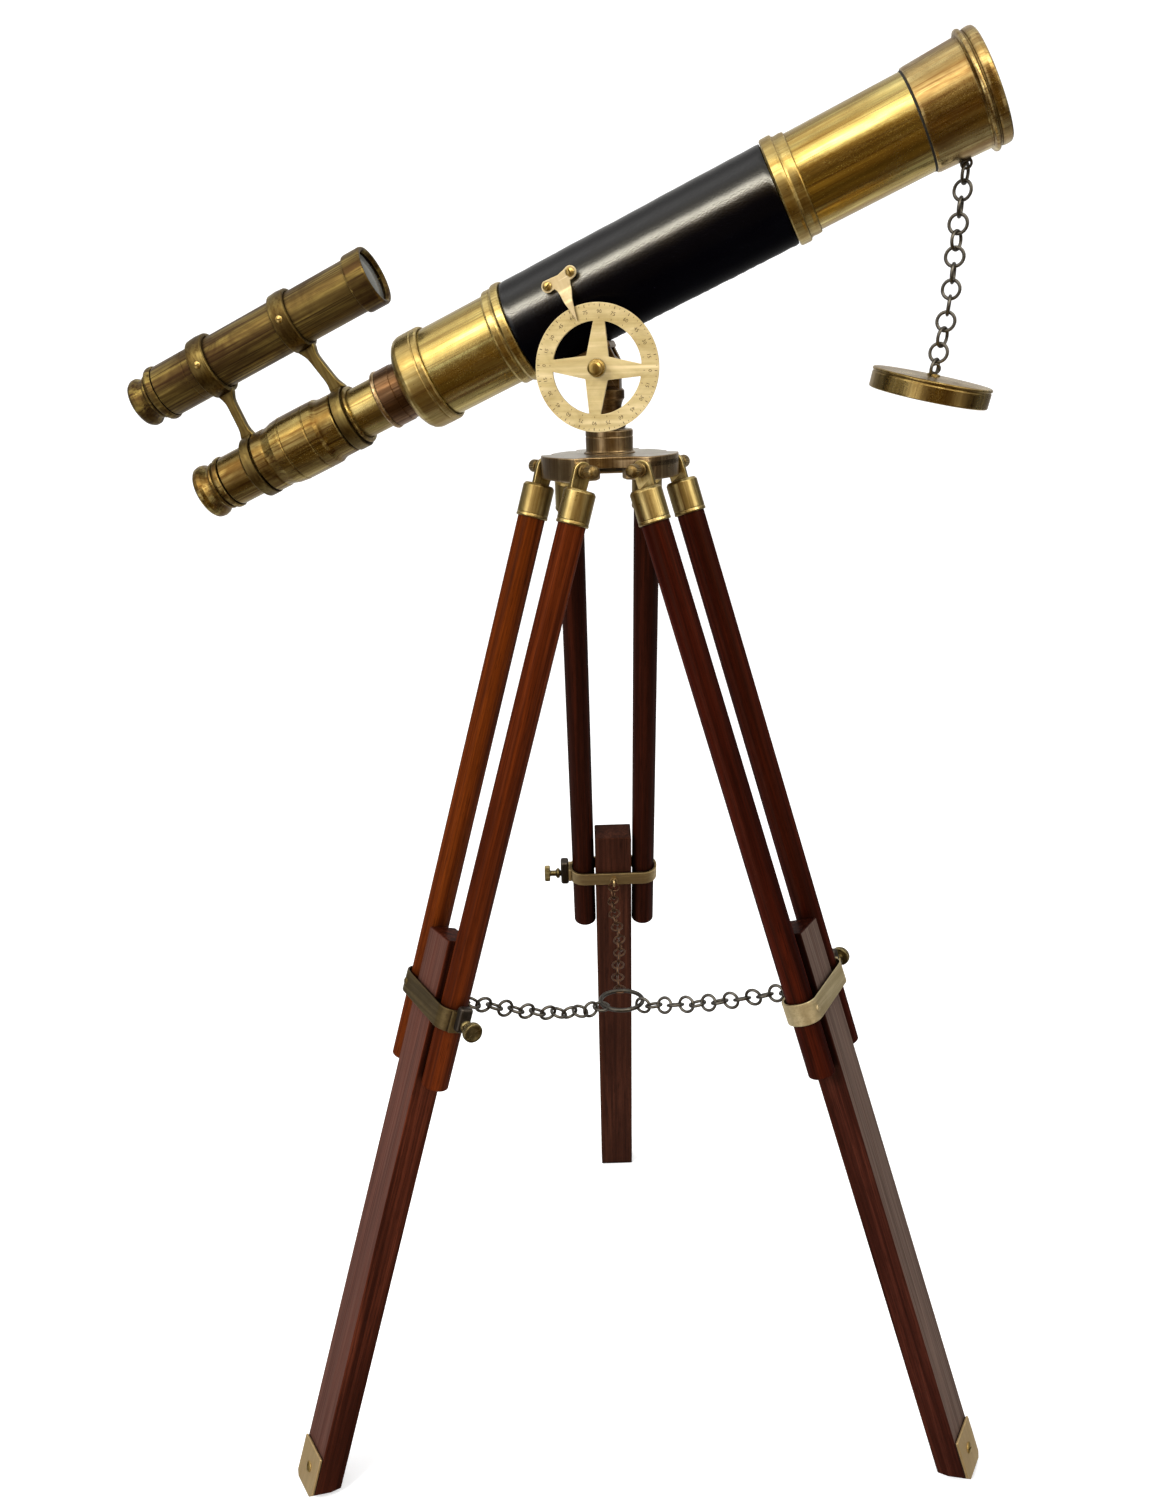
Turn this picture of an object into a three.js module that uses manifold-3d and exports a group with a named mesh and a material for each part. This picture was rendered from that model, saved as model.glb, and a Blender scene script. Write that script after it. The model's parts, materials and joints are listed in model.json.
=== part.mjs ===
// Brass refracting telescope with a piggyback finder, on a folding wooden tripod.
// Millimetres, +Z up. The group stands on its three feet at z = 0, and its bounding box
// is centred on x = y = 0. The objective points to +X, raised 24 degrees and turned
// slightly towards -Y; the graduated altitude circle is on the -Y side.
//
// stand: head plate, three legs, spreader ring and chains, lens cap on its chain
//   azimuth: post, axle and altitude circle
//     tilt > barrel: tube, pointer, draw tube, brackets, main eyepiece
//       finder: barrel, objective and eyepiece
import * as THREE from 'three';
import { mergeVertices } from 'three/addons/utils/BufferGeometryUtils.js';
import Module from 'manifold-3d';

const wasm = await Module();
wasm.setup();
const DEG = Math.PI / 180;

// ---------------------------------------------------------------- driving dimensions
// Suffixes: _R radius, _T thickness, _H height, _Z height above the floor.
const GAP = 0.3;                     // clearance between neighbouring pieces
const SEG = 20;                      // facets round a large turned piece

// Tripod head
const PLATE_TOP = 552, PLATE_T = 5, PLATE_R = 35.5;
const LOBE_T = 10.5, LOBE_HALF = 17; // the three lobes that carry the hinges
const WEB_R = 26;                    // plate edge between two lobes, from the centre
const SPINDLE_BORE = 5.25;           // radius

// Legs. Distances "down the leg" run from the hinge axis.
const LEG_AZ = { back: 90, left: 210, right: 330 }; // degrees from +X
const SPLAY = 17.95 * DEG;           // leg angle from the vertical, legs open
const PIVOT_R = 28.1, PIVOT_Z = 547; // leg hinge axis
const LEG_LEN = PIVOT_Z / Math.cos(SPLAY); // hinge axis to the floor, down the leg
const BOLT_BORE = 2.35;              // radius
const ROD_R = 7.1, ROD_TOP = 12, ROD_END = 326.8; // paired upper rods
const ROD_SPREAD = 21.85;            // rod axis to the leg's centre plane, at the hinge
const ROD_CONVERGE = 5.7 / 351.8;    // loss of rod spacing per unit of length
const BAR_HALF_X = 7.75, BAR_HALF_Y = 11.6, BAR_TOP = 252.4; // sliding inner bar
const FERRULE_R = 8.2, FERRULE_TOP = 9.2, FERRULE_END = 26.8;
const FERRULE_BORE = ROD_R + 0.35;
const BAND_AT = 286, BAND_H = 12, BAND_T = 1.5; // clamp band, BAND_AT down the leg

// Spreader and chains
const RING_Z = 241, RING_R = 12.2, RING_WIRE = 1.3;
const LINK = { pitch: 6, radius: 4.3, thickness: 1.4 };

// Azimuth post and altitude circle
const TILT_Z = 596;                  // altitude axis height
const AZIMUTH = 11.83 * DEG, ELEVATION = 24 * DEG;
const AXLE_BORE = 3.1;               // radius
const TONGUE_R = 6.5;                // round ends of the post tongue and saddle cheeks
const WHEEL_R = 30.2, WHEEL_RIM = 22.4, WHEEL_T = 1.8; // rim radii: outer, inner
const WHEEL_Y = 29.0;                // inner face to the tube's centre plane

// Telescope
const TUBE_H = 35.8;                 // tube axis above the altitude axis
const TUBE_R = 23.2, TUBE_WALL = 1.5, SLEEVE_R = 25.2;
const TUBE_SLIP = TUBE_R + GAP;      // bore of the pieces that slide over the tube
const DRAW_R = 13.4, DRAW_WALL = 1.1;
const DRAW_SLIP = DRAW_R + GAP;
const NECK_R = 15.0;                 // eyepiece barrel under the bracket rings
const EYEPIECE_BORE = 12.0;
const FINDER_H = 57.7;               // finder axis above the tube axis
const FINDER_R = 14.0, FINDER_BORE = 12.9;
const FINDER_SLIP = FINDER_R + GAP;
const POINTER_SCREWS = [[-6.3, 9.1], [6.6, 10.2]]; // [x, z] in the barrel frame
const SCREW_BORE = 1.7;

// ---------------------------------------------------------------- finishes
const FINISH = {
  brass: { color: 0xa8843a, roughness: 0.32, metalness: 0.95 },
  pale_brass: { color: 0xd9b779, roughness: 0.42, metalness: 0.9 },
  bronze: { color: 0x5a4428, roughness: 0.4, metalness: 0.85 },
  wood: { color: 0x4a1e0f, roughness: 0.35, metalness: 0 },
  leather: { color: 0x17171a, roughness: 0.5, metalness: 0 },
  steel: { color: 0x3b3a36, roughness: 0.45, metalness: 0.8 },
  glass: { color: 0x9fb0b8, roughness: 0.05, metalness: 0 },
};

// ---------------------------------------------------------------- solids and meshes
// Welds a closed geometry, drops collapsed triangles and turns its faces outwards.
function toSolid(geometry) {
  const bare = new THREE.BufferGeometry();
  bare.setAttribute('position', geometry.getAttribute('position'));
  bare.setIndex(geometry.index);
  const welded = mergeVertices(bare, 1e-4);
  const position = welded.getAttribute('position');
  const index = welded.index.array;
  const corner = (vertex) => new THREE.Vector3().fromBufferAttribute(position, vertex);
  const triangles = [];
  let volume = 0;                    // six times the signed volume
  for (let i = 0; i < index.length; i += 3) {
    const [a, b, c] = index.slice(i, i + 3);
    if (a === b || b === c || a === c) continue;
    triangles.push([a, b, c]);
    volume += corner(a).dot(corner(b).cross(corner(c)));
  }
  const outward = volume < 0 ? triangles.map(([a, b, c]) => [a, c, b]) : triangles;
  return new wasm.Manifold(new wasm.Mesh({
    numProp: 3,
    vertProperties: new Float32Array(position.array),
    triVerts: new Uint32Array(outward.flat()),
  }));
}

function mesh(name, shape, finish) {
  const data = shape.getMesh();
  const geometry = new THREE.BufferGeometry();
  geometry.setAttribute('position',
    new THREE.BufferAttribute(new Float32Array(data.vertProperties), 3));
  geometry.setIndex(new THREE.BufferAttribute(new Uint32Array(data.triVerts), 1));
  geometry.computeVertexNormals();
  const result = new THREE.Mesh(geometry, new THREE.MeshStandardMaterial(FINISH[finish]));
  result.name = name;
  return result;
}

function box(x0, x1, y0, y1, z0, z1) {
  const geometry = new THREE.BoxGeometry(x1 - x0, y1 - y0, z1 - z0);
  return toSolid(geometry.translate((x0 + x1) / 2, (y0 + y1) / 2, (z0 + z1) / 2));
}

// Turned geometry: points are [position along the axis, radius].
function turned(points, axis, seg) {
  const profile = points.map(([along, radius]) => new THREE.Vector2(radius, along));
  const geometry = new THREE.LatheGeometry(profile, seg);
  if (axis === 'z') geometry.rotateX(Math.PI / 2);
  if (axis === 'x') geometry.rotateZ(-Math.PI / 2);
  return geometry;
}
const straight = (from, to, radius) => [[from, radius], [to, radius]];
const closed = (points) => [[points[0][0], 0], ...points, [points.at(-1)[0], 0]];

// Solid turned piece, closed on its axis.
const plug = (points, axis, seg = SEG) => toSolid(turned(closed(points), axis, seg));

// Hollow turned piece: outer and bore profiles both run the same way along the axis.
const tube = (outer, bore, axis = 'x', seg = SEG) =>
  toSolid(turned([...outer, ...[...bore].reverse(), outer[0]], axis, seg));

const rodZ = (radius, from, to, seg) => plug(straight(from, to, radius), 'z', seg);
const rodY = (radius, from, to, x, z, seg = 12) =>
  plug(straight(from, to, radius), 'y', seg).translate([x, 0, z]);

// Points on an arc, both ends included; angles in degrees.
function arc(radius, start, end, steps, x = 0, y = 0) {
  return Array.from({ length: steps + 1 }, (_, i) => {
    const angle = (start + (end - start) * i / steps) * DEG;
    return [x + radius * Math.cos(angle), y + radius * Math.sin(angle)];
  });
}

const vectors = (points) => points.map(([x, y]) => new THREE.Vector2(x, y));

// Flat plate from an XY outline, extruded along +Z; holes are [x, y, radius, facets].
function plate(points, depth, holes = []) {
  const outline = vectors(points);
  if (THREE.ShapeUtils.isClockWise(outline)) outline.reverse();
  const shape = new THREE.Shape(outline);
  for (const [x, y, radius, facets] of holes) {
    shape.holes.push(new THREE.Path(vectors(arc(radius, 0, -360, facets, x, y))));
  }
  return new THREE.ExtrudeGeometry(shape, { depth, bevelEnabled: false, steps: 1 });
}

// Plate with its outline in XZ, reaching from y = top down towards -Y.
const uprightPlate = (points, top, depth, holes) =>
  toSolid(plate(points, depth, holes).rotateX(Math.PI / 2).translate(0, top, 0));

// Upright plate on one side (1 or -1) of the XZ plane, its inner face at y = side * inner.
const sidePlate = (points, side, inner, depth, holes) =>
  uprightPlate(points, side > 0 ? inner + depth : -inner, depth, holes);

// Chain of six-sided discs from one point towards another, each turned a quarter turn
// from the one before. first and last limit the disc centres along the chain.
function linkStrip(from, to, sideways, first, last) {
  const along = to.clone().sub(from).normalize();
  const side = sideways.clone().normalize();
  const across = new THREE.Vector3().crossVectors(along, side).normalize();
  const count = Math.floor((last - first) / LINK.pitch + 1e-6) + 1;
  const links = Array.from({ length: count }, (_, i) => {
    const normal = i % 2 === 0 ? across : side;
    const third = new THREE.Vector3().crossVectors(along, normal);
    const centre = from.clone().addScaledVector(along, first + i * LINK.pitch);
    return toSolid(new THREE.CylinderGeometry(LINK.radius, LINK.radius, LINK.thickness, 6)
      .rotateY(Math.PI / 2)
      .applyMatrix4(new THREE.Matrix4().makeBasis(along, normal, third))
      .translate(centre.x, centre.y, centre.z));
  });
  return links.reduce((strip, link) => strip.add(link));
}

// ---------------------------------------------------------------- tripod head
function headPlate() {
  const azimuths = Object.values(LEG_AZ);
  const lobeEdge = Math.asin(LOBE_HALF / PLATE_R) / DEG;
  const lobeEnd = arc(PLATE_R, -lobeEdge, lobeEdge, 4);

  // Straight-sided lobes at the leg azimuths, joined by webs WEB_R from the centre.
  const webX = (WEB_R - Math.sin(60 * DEG) * LOBE_HALF) / Math.cos(60 * DEG);
  const third = [[webX, -LOBE_HALF], ...lobeEnd, [webX, LOBE_HALF]];
  const outline = azimuths.flatMap((az) => {
    const cos = Math.cos(az * DEG);
    const sin = Math.sin(az * DEG);
    return third.map(([x, y]) => [x * cos - y * sin, x * sin + y * cos]);
  });
  let head = toSolid(plate(outline, PLATE_T).translate(0, 0, PLATE_TOP - PLATE_T));

  // Thick lobe blocks, cross-bored for the hinge bolts.
  const lobe = [
    [14, -LOBE_HALF + 4], [18, -LOBE_HALF], ...lobeEnd, [18, LOBE_HALF], [14, LOBE_HALF - 4],
  ];
  for (const az of azimuths) {
    head = head.add(toSolid(plate(lobe, LOBE_T - 0.5)
      .rotateZ(az * DEG).translate(0, 0, PLATE_TOP - LOBE_T)));
    head = head.subtract(toSolid(turned(closed(straight(-30, 30, BOLT_BORE)), 'y', 14)
      .translate(PIVOT_R, 0, PIVOT_Z).rotateZ(az * DEG)));
  }

  // Hub collar with its foot ring, bored for the spindle.
  const hub = [
    [PLATE_TOP - 1, 14.2], [554.2, 14.2], [555, 12.9], [556.5, 12.3], [564.2, 12.3],
    [565.4, 11.2],
  ];
  head = head.add(plug(hub, 'z')).subtract(rodZ(SPINDLE_BORE, 520, 600, 16));
  return mesh('head_plate', head, 'bronze');
}

// ---------------------------------------------------------------- azimuth post
function azimuthPost() {
  const post = plug([
    [544.0, 5], [565.8, 5], [565.8, 8.4], [567.5, 8.4], [568.5, 7.8], [583, 7.8],
    [585.5, 6.4],
  ], 'z', 16);
  const tongue = [
    [-TONGUE_R, 584], [TONGUE_R, 584], ...arc(TONGUE_R, 0, 180, 10, 0, TILT_Z),
  ];
  const tongueT = 8;
  const bored = uprightPlate(tongue, tongueT / 2, tongueT, [[0, TILT_Z, AXLE_BORE, 16]]);
  return mesh('azimuth_post', post.add(bored), 'bronze');
}

function spindleNut() {
  const hexagon = arc(8.2, 0, 300, 5);
  const nut = plate(hexagon, 2.3, [[0, 0, SPINDLE_BORE, 16]]).translate(0, 0, 544.4);
  return mesh('spindle_nut', toSolid(nut), 'steel');
}

// Lays a piece modelled along Z on the altitude axis: its +Z goes to side * Y.
function onAltitudeAxis(part, side, y) {
  part.rotation.x = -side * Math.PI / 2;
  part.position.set(0, y, TILT_Z);
  return part;
}

// Axle with the distance collar of the altitude circle, and a hexagonal far end.
function altitudeAxle() {
  const axle = rodZ(2.9, -31.0, 10.6, 16)
    .add(rodZ(4.5, -28.7, -8.4, 20))
    .add(rodZ(5.0, 8.5, 11.6, 6));
  return onAltitudeAxis(mesh('altitude_axle', axle, 'bronze'), 1, 0);
}

// Rim, four waisted spokes and a bored hub.
function altitudeCircle() {
  const spoke = [
    [1, -5.6], [5.2, -5.6], [9, -3.6], [15, -2.7], [WHEEL_RIM + 1, -3.1],
    [WHEEL_RIM + 1, 3.1], [15, 2.7], [9, 3.6], [5.2, 5.6], [1, 5.6],
  ];
  let circle = tube(straight(0, WHEEL_T, WHEEL_R), straight(0, WHEEL_T, WHEEL_RIM), 'z', 28);
  for (let i = 0; i < 4; i++) {
    circle = circle.add(toSolid(plate(spoke, WHEEL_T).rotateZ((i * 90 - 4) * DEG)));
  }
  circle = circle.add(rodZ(6.2, 0, WHEEL_T, 20)).subtract(rodZ(AXLE_BORE, -5, 8, 16));
  return onAltitudeAxis(mesh('altitude_circle', circle, 'pale_brass'), -1, -WHEEL_Y);
}

function altitudeLockKnob() {
  const knob = plug([[0, 4.6], [1.2, 4.6], [1.6, 3.7], [5.6, 3.7], [6.8, 2.6]], 'z', 18);
  return onAltitudeAxis(
    mesh('altitude_lock_knob', knob, 'brass'), -1, -(WHEEL_Y + WHEEL_T + GAP));
}

// ---------------------------------------------------------------- tilting tube
// Barrel frame: X along the tube axis towards the objective, Z up, origin on the tube
// axis above the altitude axis.

// Straight tube with the pointer screw holes through its -Y wall.
function screwedTube(from, to, outer, bore) {
  return POINTER_SCREWS.reduce(
    (shape, [x, z]) => shape.subtract(rodY(SCREW_BORE, -40, -10, x, z)),
    tube(straight(from, to, outer), straight(from, to, bore)));
}
const mainTube = () =>
  mesh('main_tube', screwedTube(-88, 180, TUBE_R, TUBE_R - TUBE_WALL), 'brass');
const leatherSleeve = () =>
  mesh('leather_sleeve', screwedTube(-32, 109, SLEEVE_R, TUBE_SLIP), 'leather');

function frontFlange() {
  return mesh('front_flange', tube([
    [109.3, 25.6], [110.2, 26.0], [114.4, 26.0], [115.6, 24.7], [120.2, 24.7], [121.0, 24.1],
  ], straight(109.3, 121.0, TUBE_SLIP)), 'brass');
}

function rearFlange() {
  return mesh('rear_flange', tube([
    [-42.4, 24.2], [-41.8, 24.8], [-37.4, 24.8], [-36.8, 25.8], [-33.0, 25.8], [-32.3, 25.3],
  ], straight(-42.4, -32.3, TUBE_SLIP)), 'brass');
}

function dewShield() {
  return mesh('dew_shield', tube([
    [178.3, 24.3], [179.6, 24.7], [204.4, 25.6], [205.0, 27.4], [206.6, 28.2], [208.2, 27.4],
    [208.8, 26.3], [211.0, 26.9], [212.8, 26.2], [213.4, 25.0],
  ], [
    [178.3, TUBE_SLIP], [186.6, TUBE_SLIP], [186.6, 21.6], [188.6, 21.6], [188.6, 23.9],
    [213.4, 24.2],
  ]), 'brass');
}

function objectiveLens() {
  const profile = [[180.6, 22.9], [183.6, 22.9], [184.8, 19.0], [185.9, 10.0]];
  return mesh('objective_lens', plug(profile, 'x', 16), 'glass');
}

function rearCap() {
  return mesh('rear_cap', tube([
    [-115.0, 14.4], [-114.0, 14.9], [-99.4, 14.9], [-98.8, 17.6], [-97.4, 21.2],
    [-95.6, 23.8], [-93.4, 25.0], [-83.0, 25.1], [-80.5, 24.6],
  ], [
    [-115.0, DRAW_SLIP], [-97.6, DRAW_SLIP], [-95.8, 19.0], [-93.4, 22.4],
    [-89.0, TUBE_SLIP], [-80.5, TUBE_SLIP],
  ]), 'brass');
}

// Fork plate under the tube, with two cheeks on the altitude axis.
function tubeSaddle() {
  const cheek = [[-7.5, 9.6], ...arc(TONGUE_R, 180, 360, 10), [7.5, 9.6]];
  let saddle = box(-22, 22, -9.5, 9.5, -28.4, -25.8);
  for (const side of [-1, 1]) {
    saddle = saddle.add(sidePlate(cheek, side, 4.4, 3.6, [[0, 0, AXLE_BORE, 16]])
      .translate([0, 0, -TUBE_H]));
  }
  return mesh('tube_saddle', saddle, 'bronze');
}

// T plate on the -Y side of the tube, its tapered stem cranked over the circle.
function altitudePointer() {
  const inner = -25.6;               // y of the T plate's faces
  const outer = inner - 1.3;
  const tip = -(WHEEL_Y + WHEEL_T + 0.5); // y of the stem end's inner face
  const head = [                     // [x, z]
    [-9.8, 7.0], [-9.8, 11.2], [-7.4, 12.6], [7.2, 13.8], [10.0, 12.2], [10.0, 8.2],
    [7.6, 6.8], [4.2, 5.8], [3.4, 2.4], [-1.6, 2.4], [-3.8, 6.0], [-7.0, 5.6],
  ];
  const crank = [                    // [y, z]
    [outer, 5.6], [inner, 5.6], [inner, 2.6], [tip, -3.2], [tip, -12.0],
    [tip - 1.2, -12.0], [tip - 1.2, -2.6], [outer, 3.4],
  ];
  const taper = [                    // [x, z]
    [-2.8, 6.6], [4.4, 6.6], [3.6, 1.5], [1.4, -12.0], [0.5, -12.0], [-1.8, 1.5],
  ];
  const holes = POINTER_SCREWS.map(([x, z]) => [x, z, SCREW_BORE, 12]);
  // The two turns carry the crank's outline from XY to YZ and its depth to +X.
  const stem = toSolid(plate(crank, 7)
    .rotateX(Math.PI / 2).rotateZ(Math.PI / 2).translate(-2.4, 0, 0));
  const pointer = uprightPlate(head, inner, inner - outer, holes)
    .add(stem.intersect(uprightPlate(taper, -20, 20)));
  return mesh('altitude_pointer', pointer, 'pale_brass');
}

function pointerScrew([x, z], i) {
  const screw = rodY(1.35, -28.0, -20.6, x, z).add(rodY(2.7, -28.6, -27.2, x, z, 14));
  return mesh(`pointer_screw_${i + 1}`, screw, 'brass');
}

// ---------------------------------------------------------------- focusing draw section
function drawTube() {
  return mesh('draw_tube', tube(straight(-150.2, -60, DRAW_R),
    straight(-150.2, -60, DRAW_R - DRAW_WALL), 'x', 18), 'brass');
}

function eyepieceBarrel() {
  return mesh('eyepiece_barrel', tube([
    [-214.4, 13.6], [-198.6, 13.6], [-198.0, NECK_R], [-191.0, NECK_R], [-190.4, 16.2],
    [-182.0, 16.2], [-180.0, 16.8], [-171.6, 17.7], [-151.6, 17.7], [-149.6, 16.4],
    [-140.2, 16.1], [-139.6, NECK_R], [-132.2, NECK_R], [-131.8, 15.6], [-130.0, 15.2],
  ], [
    [-214.4, EYEPIECE_BORE], [-150.5, EYEPIECE_BORE], [-150.5, DRAW_SLIP],
    [-130.0, DRAW_SLIP],
  ], 'x', 18), 'brass');
}

// Ring round the eyepiece barrel, leaning strut, and chamfered ring round the finder.
// Each ring reaches over [from, to] along X.
function bracket(name, [lowFrom, lowTo], [highFrom, highTo], highR) {
  const halfWidth = 3.2;
  const thickness = 4.6;
  const chamfer = { along: 0.8, radial: 0.6 };
  const lowX = (lowFrom + lowTo) / 2;
  const highX = (highFrom + highTo) / 2;
  const highFoot = FINDER_H - 14.9;
  const lowRing = tube(
    straight(lowFrom, lowTo, 16.6), straight(lowFrom, lowTo, NECK_R + GAP), 'x', 18);
  const highRing = tube([
    [highFrom, highR - chamfer.radial], [highFrom + chamfer.along, highR],
    [highTo - chamfer.along, highR], [highTo, highR - chamfer.radial],
  ], straight(highFrom, highTo, FINDER_SLIP), 'x', 18).translate([0, 0, FINDER_H]);
  const strut = uprightPlate([
    [lowX - halfWidth, 15.9], [lowX + halfWidth, 15.9],
    [highX + halfWidth, highFoot], [highX - halfWidth, highFoot],
  ], thickness / 2, thickness);
  return mesh(name, lowRing.add(highRing).add(strut), 'brass');
}

function mainEyepiece() {
  const slideR = EYEPIECE_BORE - GAP;
  return mesh('main_eyepiece', tube([
    [-231.0, 13.0], [-230.2, 14.2], [-227.4, 14.7], [-225.0, 13.9], [-222.9, 12.3],
    [-218.9, 12.2], [-217.6, 14.0], [-217.0, 14.5], [-214.8, 14.5], [-214.8, slideR],
    [-192.0, slideR],
  ], [
    [-231.0, 12.0], [-226.4, 8.0], [-225.2, 8.0], [-225.2, 10.4], [-192.0, 10.4],
  ], 'x', 16), 'brass');
}

function mainEyeLens() {
  const profile = [[-224.9, 10.0], [-222.9, 10.0], [-221.7, 5.5]];
  return mesh('main_eye_lens', plug(profile, 'x', 18), 'glass');
}

// ---------------------------------------------------------------- finder
function finderBarrel() {
  return mesh('finder_barrel', tube(straight(-224.6, -96.4, FINDER_R),
    straight(-224.6, -96.4, FINDER_BORE), 'x', 18), 'brass');
}

function finderObjectiveCell() {
  return mesh('finder_objective_cell', tube([
    [-101.2, 15.0], [-100.2, 15.5], [-91.0, 15.5], [-90.0, 14.9],
  ], [
    [-101.2, FINDER_SLIP], [-92.2, FINDER_SLIP], [-92.2, FINDER_BORE], [-90.0, 13.2],
  ], 'x', 18), 'brass');
}

function finderObjectiveLens() {
  const profile = [[-96.0, 13.9], [-93.8, 13.9], [-92.9, 8.0]];
  return mesh('finder_objective_lens', plug(profile, 'x', 14), 'glass');
}

function finderEyepiece() {
  const slideR = FINDER_BORE - GAP;
  return mesh('finder_eyepiece', tube([
    [-242.4, 10.6], [-241.6, 12.0], [-239.6, 13.1], [-236.8, 12.9], [-233.6, 11.9],
    [-229.8, 12.0], [-228.6, 15.0], [-225.0, 15.0], [-225.0, slideR], [-205.0, slideR],
  ], [
    [-242.4, 9.2], [-238.6, 6.6], [-237.2, 6.6], [-235.6, 10.4], [-205.0, 11.2],
  ], 'x', 16), 'brass');
}

// ---------------------------------------------------------------- legs
// Leg frame: origin on the hinge axis, X outward, Y across the leg, Z up the leg.
const rodY0 = (down) => ROD_SPREAD - ROD_CONVERGE * down / 2; // rod axis, |y|
const BAND_IN_X = BAR_HALF_X + GAP;  // half sizes of the clamp band's opening
const BAND_IN_Y = rodY0(BAND_AT) + ROD_R + GAP;
const EYE_X = -(BAND_IN_X + BAND_T + 2.0); // chain eye on the band's inward face

function legRod(name, side) {
  const top = new THREE.Vector3(0, side * rodY0(ROD_TOP), -ROD_TOP);
  const end = new THREE.Vector3(0, side * rodY0(ROD_END), -ROD_END);
  const span = end.clone().sub(top);
  const centre = top.clone().add(end).multiplyScalar(0.5);
  const up = new THREE.Vector3(0, 1, 0);
  const rod = new THREE.CylinderGeometry(ROD_R, ROD_R, span.length(), 12)
    .applyQuaternion(new THREE.Quaternion().setFromUnitVectors(up, span.normalize()))
    .translate(centre.x, centre.y, centre.z);
  return mesh(name, toSolid(rod), 'wood');
}

// Cup over the rod end, with a flat tongue up to the hinge axis.
function ferrule(name, side) {
  const cup = tube([
    [-FERRULE_END, FERRULE_R], [-FERRULE_TOP - 1, FERRULE_R],
    [-FERRULE_TOP, FERRULE_R - 1], [-FERRULE_TOP, 0],
  ], [
    [-FERRULE_END, FERRULE_BORE], [-FERRULE_TOP - 2, FERRULE_BORE], [-FERRULE_TOP - 2, 0],
  ], 'z', 12).translate([0, side * rodY0(19), 0]);
  const foot = -FERRULE_TOP - 0.8;
  const tongue = [[-4.6, foot], [4.6, foot], ...arc(4.8, 0, 180, 6)];
  const bored = sidePlate(tongue, side, 17.5, 2.7, [[0, 0, BOLT_BORE, 10]]);
  return mesh(name, cup.add(bored), 'brass');
}

// Block below the plane that lies `raise` above the floor.
function belowFloor(raise) {
  const height = 40;
  return toSolid(new THREE.BoxGeometry(80, 80, height)
    .translate(0, 0, -height / 2 + raise).rotateY(SPLAY).translate(0, 0, -LEG_LEN));
}

// Sliding inner bar, cut flat on the floor.
function extensionBar(name) {
  const bar = box(
    -BAR_HALF_X, BAR_HALF_X, -BAR_HALF_Y, BAR_HALF_Y, -LEG_LEN - 6, -BAR_TOP);
  return mesh(name, bar.subtract(belowFloor(0)), 'wood');
}

// Plate with its screw head on the outward face of the bar.
function footPlate(name) {
  const face = BAR_HALF_X + GAP;
  const screw = plug([[face + 1.2, 3.0], [face + 2.2, 2.9], [face + 2.8, 1.8]], 'x', 12);
  const foot = box(face, face + 1.5, -11.4, 11.4, -LEG_LEN - 6, -LEG_LEN + 15.5)
    .subtract(belowFloor(0.6))
    .add(screw.translate([0, 0, -LEG_LEN + 6.2]));
  return mesh(name, foot, 'pale_brass');
}

// Rectangle with rounded corners, the clamp band's opening grown by `grow` all round.
function bandOutline(grow) {
  const radius = 7.4 + grow;
  const x = BAND_IN_X + grow - radius;
  const y = BAND_IN_Y + grow - radius;
  const corners = [[x, y], [-x, y], [-x, -y], [x, -y]];
  return corners.flatMap(([cornerX, cornerY], i) =>
    arc(radius, i * 90, i * 90 + 90, 3, cornerX, cornerY));
}

// Band round both rods and the bar, with a bored lug on +Y and the chain eye.
function clampBand(name) {
  const opening = toSolid(plate(bandOutline(0), BAND_H + 2).translate(0, 0, -1));
  const lug = box(-4, 4, BAND_IN_Y + 0.4, BAND_IN_Y + 7.6, -BAND_AT - 8.5, -BAND_AT + 8.5);
  const eye = new THREE.TorusGeometry(2.2, 0.7, 4, 8)
    .rotateX(Math.PI / 2).translate(EYE_X, 0, -BAND_AT);
  const band = toSolid(plate(bandOutline(BAND_T), BAND_H))
    .subtract(opening)
    .translate([0, 0, -BAND_AT - BAND_H / 2])
    .add(lug)
    .subtract(rodY(2.15, BAND_IN_Y - 4, BAND_IN_Y + 14, 0, -BAND_AT))
    .add(toSolid(eye));
  return mesh(name, band, 'pale_brass');
}

function clampScrew(name) {
  const start = BAND_IN_Y + 0.2;
  const screw = rodY(1.85, start, start + 15.5, 0, -BAND_AT)
    .add(rodY(3.0, start + 8.2, start + 10.4, 0, -BAND_AT))
    .add(rodY(5.2, start + 14.4, start + 17.8, 0, -BAND_AT, 14));
  return mesh(name, screw, 'brass');
}

// Chain from the clamp band's eye towards the ring, in the plane of the leg.
function spreaderChain(name) {
  const cos = Math.cos(SPLAY);
  const sin = Math.sin(SPLAY);
  const eye = new THREE.Vector3(
    PIVOT_R + EYE_X * cos + BAND_AT * sin, 0, PIVOT_Z + EYE_X * sin - BAND_AT * cos);
  const ring = new THREE.Vector3(RING_R, 0, RING_Z);
  return mesh(name, linkStrip(eye, ring, new THREE.Vector3(0, 1, 0), 7.9, 68), 'steel');
}

// Bolt through both tongues and the lobe, with a washer and an end piece on each side.
function hingeBolt(name) {
  let bolt = rodY(2.1, -29, 29, 0, 0, 10);
  for (const [radius, inner, outer] of [[3.5, 20.7, 22.2], [3.1, 25.4, 31.4]]) {
    bolt = bolt.add(rodY(radius, inner, outer, 0, 0, 10));
    bolt = bolt.add(rodY(radius, -outer, -inner, 0, 0, 10));
  }
  const result = mesh(name, bolt, 'brass');
  result.position.set(PIVOT_R, 0, PIVOT_Z);
  return result;
}

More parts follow.
